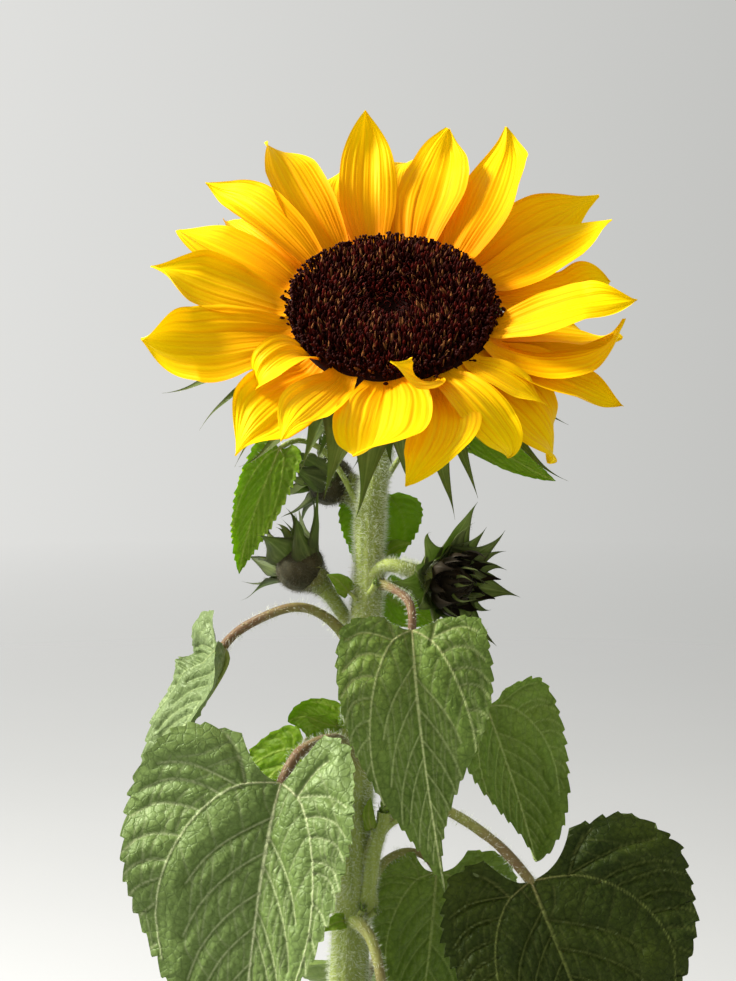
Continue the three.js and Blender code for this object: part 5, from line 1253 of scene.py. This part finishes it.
def bract(joined, frm, centre, radius, height, row, width, cup, nu, nv, rng, tile, tiles, curl=14.0, thick=0.0, edge_hairs=None, count=26, shape=tip_shape, hook=1.0, amp=1.0):
    phi, lift0, lift1, yaw, length = row
    line = ray_line(frm, centre, radius, height, phi, lift0, lift1, yaw, length, 0, rng.uniform(-14, 14), nu)
    s, p0, t, side, up = line
    sway = rng.uniform(-1, 1)
    bend = np.clip((s - 0.5) / 0.5, 0, 1) ** 2
    end = np.clip((s - 0.78) / 0.22, 0, 1) ** 2
    lift = rng.choice([-1, 1]) * hook
    p0 = p0 + up * (0.16 * length * math.radians(curl) * bend + 0.06 * length * lift * end)[:, None] + side * (0.06 * length * sway * bend + 0.05 * length * sway * end)[:, None]
    p0 = p0 + up * (0.9 * amp * np.sin(TAU * (0.9 * s + rng.uniform())) * s)[:, None]
    v = np.linspace(-1, 1, nv)
    p, w = ray_surface((s, p0, t, side, up), width, cup, shape, v, 0.06)
    S, V = np.meshgrid(s, v, indexing="ij")
    nrm = normals_of(p)
    nrm = nrm * np.sign((nrm * up[:, None]).sum(-1).mean())
    room = np.clip(w / 1.6, 0.0, 1.0)
    h = -0.55 * np.exp(-((V / 0.12) ** 2)) * (1 - S) + 0.16 * np.cos(TAU * 2.0 * V) * (1 - S) + 0.35 * vnoise(p, 9.0, int(phi) % 97)
    h = h * amp * room
    h = h + 0.17 * w * np.abs(V) ** 2 * np.sin(TAU * (1.1 * S + rng.uniform()))
    p = p + nrm * h[..., None]
    tx, ty = tile % tiles, tile // tiles
    uv = np.stack([(tx + 0.04 + 0.92 * (V + 1) / 2) / tiles, (ty + 0.04 + 0.92 * S) / tiles], -1)
    joined.add(p.reshape(-1, 3), grid_faces(nu, nv), uv=uv.reshape(-1, 2), along=S.ravel(), across=V.ravel(), tone=np.full(S.size, rng.uniform()))
    if edge_hairs is not None:
        for e in (0, nv - 1):
            i = rng.integers(0, nu - 3, count)
            outward = unit(p[i, e] - p[i, nv // 2])
            hairs(edge_hairs, p[i, e], outward, rng.uniform(0.6, 1.5, count), rng, width=0.07, lean=0.5)
    return p, nrm


head_bracts = Joined()
rng = np.random.default_rng(44)
for k, (phi, lift0, lift1, yaw, length, width, row) in enumerate(BRACTS):
    bract(head_bracts, HEAD, HEAD_CENTRE, BRACT_ROW_RADIUS[row], BRACT_ROW_HEIGHT[row], (phi, lift0, lift1 - (9 if 60 < phi % 360 < 215 else 0), yaw, length * 1.04), width * 1.25, 20, 34, 13, rng, k, 7, curl=-10 if 60 < phi % 360 < 215 else 6, edge_hairs=hair_white, hook=0.45)
# a third, shorter row below them
for k in range(20):
    phi = 18 * k + rng.uniform(-5, 5)
    front = math.cos(math.radians(phi + 90))
    lift = -10 - 22 * max(0, front) + rng.uniform(-6, 6)
    bract(head_bracts, HEAD, HEAD_CENTRE, 25.5, -15.0, (phi, lift - 6, lift - 22 * rng.uniform(0.3, 1.2), rng.uniform(-8, 8), rng.uniform(26, 34)), rng.uniform(13, 16), 20, 24, 11, rng, 25 + k, 7, edge_hairs=hair_white, count=16)
head_bracts.piece("head_bracts", M_BRACT, node="receptacle", slot="bract_green")
m_ = 1500
rr_, aa_ = RNG.uniform(9, 36, m_), RNG.uniform(0, TAU, m_)
hp = head_point(rr_, aa_, np.interp(rr_, prof[:6, 0], prof[:6, 1]))
hairs(hair_white, hp, unit(-n + 0.5 * (np.cos(aa_)[:, None] * e1 + np.sin(aa_)[:, None] * e2)), RNG.uniform(0.7, 1.7, m_), RNG, width=0.075)

# ------------------------------------------------------------------ side buds
for name, bud in BUDS.items():
    frm = axis_frame(bud["axis"])
    bn, b1, b2 = frm
    c, r = np.array(bud["c"]), bud["r"]
    rng = np.random.default_rng({"right": 3, "left": 4, "back": 5}[name])
    # skin of the closed head: a flattened ball with shallow ribs
    U_, V_ = np.meshgrid(np.linspace(0.02, math.pi - 0.02, 22), np.linspace(0, TAU, 40, endpoint=False), indexing="ij")
    rad3 = r * ((0.78 if name == "right" else 1.05) + 0.03 * np.cos(13 * V_) * np.sin(U_))
    p = c + (rad3 * np.sin(U_) * np.cos(V_))[..., None] * b1 + (rad3 * np.sin(U_) * np.sin(V_))[..., None] * b2 - (0.92 * rad3 * np.cos(U_))[..., None] * bn
    p = p + unit(p - c) * (0.35 * vnoise(p, 3.0, 70))[..., None]
    make("bud_%s_ball" % name, p.reshape(-1, 3), ring_faces(22, 40), M_DARK if name == "right" else M_BUD, node="bud_" + name, slot="bract_green", uv=tube_uv(22, 40))
    if name == "right":
        # the green base of the head, behind the bracts
        U3, V3 = np.meshgrid(np.linspace(0.02, 1.12, 12), np.linspace(0, TAU, 36, endpoint=False), indexing="ij")
        q = c + (0.90 * r * np.sin(U3) * np.cos(V3))[..., None] * b1 + (0.90 * r * np.sin(U3) * np.sin(V3))[..., None] * b2 - (0.90 * r * np.cos(U3))[..., None] * bn
        make("bud_right_base", q.reshape(-1, 3), ring_faces(12, 36), M_BACK, node="bud_right", slot="bract_green", uv=tube_uv(12, 36))
    nh = 3400 if name == "right" else 5000
    dd = unit(rng.normal(size=(nh, 3)))
    dd = dd[((dd @ bn) < 0.35) | (rng.uniform(size=nh) < 0.35)]
    fit = (0.76 if name == "right" else 1.04) * r
    hairs(hair_bud, c + dd * fit, dd, rng.uniform(0.5, 1.4 if name == "right" else 2.0, len(dd)), rng, width=0.075)
    # outer bracts as the frame has them, then rows between and above them
    outer, inner = Joined(), Joined()
    k = 0
    for phi, lift0, lift1, yaw, length in bud["bracts"]:
        bract(outer, frm, c, (0.72 if name == "right" else 1.02) * r, (-0.5 if name == "right" else 0.02) * r, (phi, lift0, lift1, yaw, length * 1.05), 20.0 if name == "right" else 13.5, 18, 28, 13, rng, k, 6, curl=30, edge_hairs=hair_bud, count=22, hook=0.8)
        k += 1
    for j in range(9 if name == "right" else 4):
        phi = (40 if name == "right" else 90) * j + rng.uniform(-9, 9)
        lift = {"right": 30, "left": 50, "back": 36}[name] + rng.uniform(-12, 12)
        bract(outer, frm, c, (0.84 if name == "right" else 0.75) * r, (-0.35 if name == "right" else 0.62) * r, (phi, lift, lift + rng.uniform(-10, 26), rng.uniform(-14, 14), rng.uniform(1.5, 2.1) * r), 14.0, 22, 22, 11, rng, k, 6, curl=26, edge_hairs=hair_bud, count=16)
        k += 1
    for j in range(12 if name == "right" else 6):
        phi = (30 if name == "right" else 60) * j + rng.uniform(-8, 8)
        lift = 44 if name == "right" else 58
        bract(inner, frm, c, (0.90 if name == "right" else 0.62) * r, 0.0 if name == "right" else 0.78 * r, (phi, lift + rng.uniform(-14, 6), lift + 74 + rng.uniform(-16, 16), rng.uniform(-18, 18), rng.uniform(1.1, 1.7) * r), 9.5, 26, 18, 9, rng, j, 6, curl=14, edge_hairs=hair_bud, count=8)
    if name == "right":
        # young dark scales closing over the middle, and a few pale curled tips between them
        for ring, (count, at, rise, lean, far, wide) in enumerate(((11, 0.70, 0.22, 84, 1.15, 7.5), (9, 0.52, 0.52, 100, 0.95, 6.0), (6, 0.30, 0.66, 116, 0.62, 4.6))):
            for j in range(count):
                phi = 360 / count * j + 17 * ring + rng.uniform(-9, 9)
                bract(inner, frm, c, at * r, rise * r, (phi, lean + rng.uniform(-14, 8), lean + 52 + rng.uniform(-24, 24), rng.uniform(-24, 24), far * r * rng.uniform(0.85, 1.2)), wide, 30, 16, 7, rng, 12 + 11 * ring + j, 7, curl=20, edge_hairs=hair_bud, count=8)
        for j in range(8):
            phi = 45 * j + rng.uniform(-14, 14)
            bract(outer, frm, c, rng.uniform(0.25, 0.62) * r, 0.62 * r, (phi, rng.uniform(50, 85), rng.uniform(90, 150), rng.uniform(-50, 50), rng.uniform(0.9, 1.5) * r), 3.0, 24, 18, 5, rng, 22 + j, 6, curl=60, hook=1.6)
    outer.piece("bud_%s_bracts" % name, M_TIP if name == "right" else M_TIP_DARK, node="bud_" + name, slot="bract_green")
    inner.piece("bud_%s_inner" % name, M_DARK if name == "right" else M_TIP, node="bud_" + name, slot="bract_green")
    # stalk
    pts = [np.array(q, float) for q in bud["stalk"]]
    pts.append(c - bn * 0.55 * r)
    v, out, info = tube(pts, 46, 16, lambda t, th, cc: (2.5 + 1.1 * t * t + (5.0 if name == "right" else 4.7) * np.clip((t - 0.55) / 0.45, 0, 1) ** 2 + 1.6 * np.exp(-((t / 0.12) ** 2))) * (1 + 0.04 * np.cos(6 * th)))
    v = v + out * (0.18 * vnoise(v, 5.0, 71))[..., None]
    make("bud_%s_stalk" % name, v.reshape(-1, 3), ring_faces(46, 16), M_STALK, attrs=dict(red=np.repeat(np.zeros(46) if name == "right" else 0.52 * np.clip((info["t"] - 0.76) / 0.16, 0, 1), 16)), uv=tube_uv(46, 16), node="bud_" + name, slot="bract_green")
    hairs_on_tube(hair_white, info, 3.2, rng, length=(1.0, 2.4), width=0.085)
    hairs_on_tube(hair_white if name == "right" else hair_bud, info, 5.0, rng, length=(1.2, 2.8), t0=0.45 if name == "right" else 0.68, t1=0.95, width=0.08)

# ------------------------------------------------------------------ young shoots in the leaf axils
SHOOT_LEAVES = {
    "shoot_left": {"pet": [[0.7, -5.0, 384.1], [-2.0, -6.0, 387.1], [-4.7, -6.0, 388.7]], "mid": [[-4.7, -6.0, 388.7], [-9.3, -8.0, 390.3], [-13.5, -9.0, 392.1], [-17.3, -9.0, 393.6]], "rad": [0.9, 0.7], "W": 7.0, "sides": [1, 1], "n0": [0, -0.7, 0.7], "n1": [0.0, -1, 0.1], "fold": [8, 8], "curl": [-8, -8], "back": 0.0, "wave": [0.5, 2.0, 0.2], "lobe": [0.3, 0.3], "taper": [1.0, 1.0], "sinus": [1.1, 1.1]},
    "shoot_upper": {"pet": [[2.7, -4.0, 438.0], [1.2, -4.0, 439.6], [-0.4, -4.0, 441.1]], "mid": [[-0.4, -4.0, 441.1], [-2.7, -5.0, 444.0], [-5.4, -6.0, 446.5], [-8.8, -7.0, 448.2]], "rad": [0.9, 0.7], "W": 7.5, "sides": [1, 1], "n0": [0.3, -0.9, 0.3], "n1": [0.0, -1, 0.1], "fold": [8, 8], "curl": [-8, -8], "back": 0.0, "wave": [0.5, 2.0, 0.2], "lobe": [0.3, 0.3], "taper": [1.0, 1.0], "sinus": [1.1, 1.1]},
    "shoot_right": {"pet": [[9.3, 3.0, 450.2], [11.6, 5.0, 452.3], [13.5, 6.0, 454.1]], "mid": [[13.5, 6.0, 454.1], [15.9, 6.0, 456.5], [19.4, 5.0, 458.2], [24.0, 4.0, 459.1]], "rad": [0.9, 0.7], "W": 7.0, "sides": [1, 1], "n0": [0.0, -0.85, 0.5], "n1": [0.0, -1, 0.1], "fold": [8, 8], "curl": [-8, -8], "back": 0.0, "wave": [0.5, 2.0, 0.2], "lobe": [0.3, 0.3], "taper": [1.0, 1.0], "sinus": [1.1, 1.1]},
    "shoot_low": {"pet": [[0.7, -7.0, 313.1], [-0.9, -7.0, 312.7], [-2.4, -8.0, 312.2]], "mid": [[-2.4, -8.0, 312.2], [-5.1, -10.0, 312.4], [-8.2, -11.0, 311.2], [-11.7, -11.0, 308.4]], "rad": [0.9, 0.7], "W": 6.5, "sides": [1, 1], "n0": [0.0, -0.85, 0.5], "n1": [0.0, -1, 0.1], "fold": [8, 8], "curl": [-8, -8], "back": 0.0, "wave": [0.5, 2.0, 0.2], "lobe": [0.3, 0.3], "taper": [1.0, 1.0], "sinus": [1.1, 1.1]},
    "shoot_side": {"pet": [[10.0, -6.0, 341.5], [9.3, -8.0, 345.3], [8.5, -9.0, 349.1]], "mid": [[8.5, -9.0, 349.1], [7.3, -10.0, 353.4], [7.3, -10.0, 357.7], [8.1, -9.0, 361.8]], "rad": [0.9, 0.7], "W": 5.5, "sides": [1, 1], "n0": [-0.5, -0.8, 0.2], "n1": [0.0, -1, 0.1], "fold": [8, 8], "curl": [-8, -8], "back": 0.0, "wave": [0.5, 2.0, 0.2], "lobe": [0.3, 0.3], "taper": [1.0, 1.0], "sinus": [1.1, 1.1]},
}
# Shoots: line, radii at foot and top, size of the young bud, its axis.
SHOOTS = {
    "side": [[[6.1, -3.0, 317.0], [7.7, -7.0, 328.3], [9.6, -8.0, 340.5], [12.7, -9.0, 351.1], [13.5, -9.0, 355.9]], [3.2, 2.3], 3.4, [0.1, -0.1, 1.0]],
    "arm": [[[11.2, -8.0, 345.3], [13.9, -9.0, 349.5], [16.6, -9.0, 351.9], [18.5, -9.0, 353.1]], [1.7, 1.3], 1.7, [0.8, -0.1, 0.5]],
    "left": [[[-0.4, -5.0, 382.5], [-2.4, -6.0, 385.9], [-3.1, -6.0, 388.3]], [1.7, 1.4], 2.0, [-0.2, -0.1, 1.0]],
    "low": [[[3.0, -6.0, 313.2], [4.2, -8.0, 315.4], [5.0, -9.0, 317.3]], [1.6, 1.3], 1.8, [0.2, -0.3, 1.0]],
    "low_right": [[[5.4, -4.0, 312.1], [7.7, -6.0, 314.4], [10.0, -7.0, 315.9]], [1.5, 1.2], 1.6, [0.8, -0.2, 0.4]],
    "axil_right": [[[6.2, -4.0, 438.8], [8.5, -7.0, 442.4], [10.0, -8.0, 444.8]], [1.5, 1.2], 1.9, [0.5, -0.3, 0.8]],
}
young = Joined()
rng = np.random.default_rng(61)
q_ = 0
for name, leaf in SHOOT_LEAVES.items():
    _, g = leaf_piece("blade_" + name, leaf, 44, 24, [TOP["bright"], UNDER["bright"]], seed=50 + q_, relief=0.35, tooth=0.4, tooth_step=3.0)
    pts = [np.array(p, float) for p in leaf["pet"]]
    v, out, info = tube(pts, 16, 10, lambda t, th, c: 0.9 - 0.25 * t + 0.5 * np.exp(-((t / 0.2) ** 2)))
    make("stalk_" + name, v.reshape(-1, 3), ring_faces(16, 10), M_STALK, attrs=dict(red=np.zeros(160)), uv=tube_uv(16, 10), slot="stem_green")
    hairs_on_tube(hair_white, info, 1.6, rng, length=(0.6, 1.4), width=0.07)
    q_ += 1
for name, (line, (r0, r1), size, axis) in SHOOTS.items():
    pts = [np.array(p, float) for p in line]
    v, out, info = tube(pts, 26, 14, lambda t, th, c: (r0 + (r1 - r0) * t + 0.5 * r0 * np.exp(-((t / 0.12) ** 2)) + 0.25 * r1 * np.clip((t - 0.8) / 0.2, 0, 1)) * (1 + 0.05 * np.cos(5 * th)))
    v = v + out * (0.14 * vnoise(v, 4.0, 72))[..., None]
    make("shoot_" + name, v.reshape(-1, 3), ring_faces(26, 14), M_STALK, attrs=dict(red=np.zeros(26 * 14)), uv=tube_uv(26, 14), slot="stem_green")
    hairs_on_tube(hair_white, info, 1.9, rng, length=(0.8, 2.0), width=0.085)
    frm = axis_frame(axis)
    top = pts[-1] - frm[0] * 0.1
    for k in range(11 if size > 3 else 7):
        phi = 137.5 * k + rng.uniform(-12, 12)
        h = 0.10 * size * k
        lift = rng.uniform(48, 80)
        bract(young, frm, top, 0.55 * size * (1 - 0.06 * k), h * 0.6 - 0.4 * size, (phi, lift, lift + rng.uniform(-6, 34), rng.uniform(-10, 10), size * rng.uniform(1.3, 2.2)), 1.15 * size, 26, 16, 7, rng, q_ % 64, 8, curl=16, edge_hairs=hair_white, count=5, amp=0.35)
        q_ += 1
young.piece("shoot_leaflets", M_YOUNG, slot="leaf_green")
hair_stem.piece("stem_hairs", M_HAIR, slot="stem_green", smooth=False)
hair_white.piece("fine_hairs", M_HAIR, slot="stem_green", smooth=False)
hair_bud.piece("bud_hairs", M_HAIR_DARK, slot="bract_green", smooth=False)

# ------------------------------------------------------------------ floor, light and camera
fm = Mat("pale_floor")
fcol = fm.mix(fm.noise(3.0, 3.0, 0.5), (0.56, 0.562, 0.555), (0.59, 0.592, 0.585))
fm.surface(fcol, 0.85, None, spec=0.1)
shade = fm.out.inputs["Surface"].links[0].from_node
sep = fm.node("ShaderNodeSeparateXYZ")
fm.link(fm.coords(), sep.inputs[0])
flat = fm.node("ShaderNodeCombineXYZ")
fm.link(sep.outputs[0], flat.inputs[0])
fm.link(sep.outputs[1], flat.inputs[1])
far = fm.node("ShaderNodeVectorMath", operation="LENGTH")
fm.link(flat.outputs[0], far.inputs[0])
fade = fm.ramp(fm.math("MULTIPLY", far.outputs["Value"], 0.125), [(0.03, 0.0), (0.45, 1.0)])
mixer = fm.node("ShaderNodeMixShader")
clear = fm.node("ShaderNodeBsdfTransparent")
fm.link(fade, mixer.inputs[0])
fm.link(shade.outputs[0], mixer.inputs[1])
fm.link(clear.outputs[0], mixer.inputs[2])
fm.link(mixer.outputs[0], fm.out.inputs["Surface"])
FS = 96
fa_ = np.linspace(0, TAU, FS, endpoint=False)
fr2 = np.concatenate([[0.0], np.geomspace(0.2, 8.0, 24)])
fv = np.stack([fr2[:, None] * np.cos(fa_), fr2[:, None] * np.sin(fa_), np.zeros((25, FS))], -1)
me = bpy.data.meshes.new("floor")
me.from_pydata(fv.reshape(-1, 3).tolist(), [], ring_faces(25, FS).tolist())
me.materials.append(fm.m)
floor = bpy.data.objects.new("floor", me)
bpy.context.scene.collection.objects.link(floor)
floor.location.z = -0.0005


def area(name, at, aim, size, watts, color):
    li = bpy.data.lights.new(name, "AREA")
    li.shape = "DISK"
    li.size = size
    li.energy = watts
    li.color = color
    ob = bpy.data.objects.new(name, li)
    ob.location = at
    ob.rotation_euler = (Vector(aim) - Vector(at)).to_track_quat("-Z", "Y").to_euler()
    ob.visible_camera = False
    bpy.context.scene.collection.objects.link(ob)
    return ob


area("key", (-1.36, 0.02, 1.46), (0.0, -0.02, 0.42), 0.50, 74, (1.0, 0.985, 0.95))
area("fill", (1.5, -1.6, 0.9), (0.0, 0.0, 0.4), 1.4, 3, (0.98, 0.99, 1.0))

world = bpy.data.worlds.new("studio")
world.use_nodes = True
bg = world.node_tree.nodes.get("Background") or world.node_tree.nodes.new("ShaderNodeBackground")
bg.inputs["Color"].default_value = (1.0, 1.0, 0.985, 1)
bg.inputs["Strength"].default_value = 0.64
wt = world.node_tree
where = wt.nodes.new("ShaderNodeTexCoord")
split = wt.nodes.new("ShaderNodeSeparateXYZ")
wt.links.new(where.outputs["Generated"], split.inputs[0])
side_ = wt.nodes.new("ShaderNodeMapRange")
side_.inputs["From Min"].default_value = -0.22
side_.inputs["From Max"].default_value = 0.22
wt.links.new(split.outputs[0], side_.inputs["Value"])
soft = wt.nodes.new("ShaderNodeMix")
soft.data_type = "RGBA"
soft.inputs[6].default_value = (1.20, 1.20, 1.17, 1)
soft.inputs[7].default_value = (0.82, 0.825, 0.80, 1)
wt.links.new(side_.outputs[0], soft.inputs[0])
wt.links.new(soft.outputs[2], bg.inputs["Color"])
bpy.context.scene.world = world

cam = bpy.data.cameras.new("camera")
cam.sensor_fit = "VERTICAL"
cam.sensor_height = 36.0
cam.lens = 36.0 * 2077.922 / 981
cam.clip_end = 50
camera = bpy.data.objects.new("camera", cam)
camera.location = (0.00693, -0.795618, 0.563623)
camera.rotation_euler = (math.radians(84), 0, 0)
bpy.context.scene.collection.objects.link(camera)
bpy.context.scene.camera = camera
bpy.context.scene.view_settings.view_transform = "Standard"
bpy.context.scene.view_settings.look = "None"

bpy.context.view_layer.update()
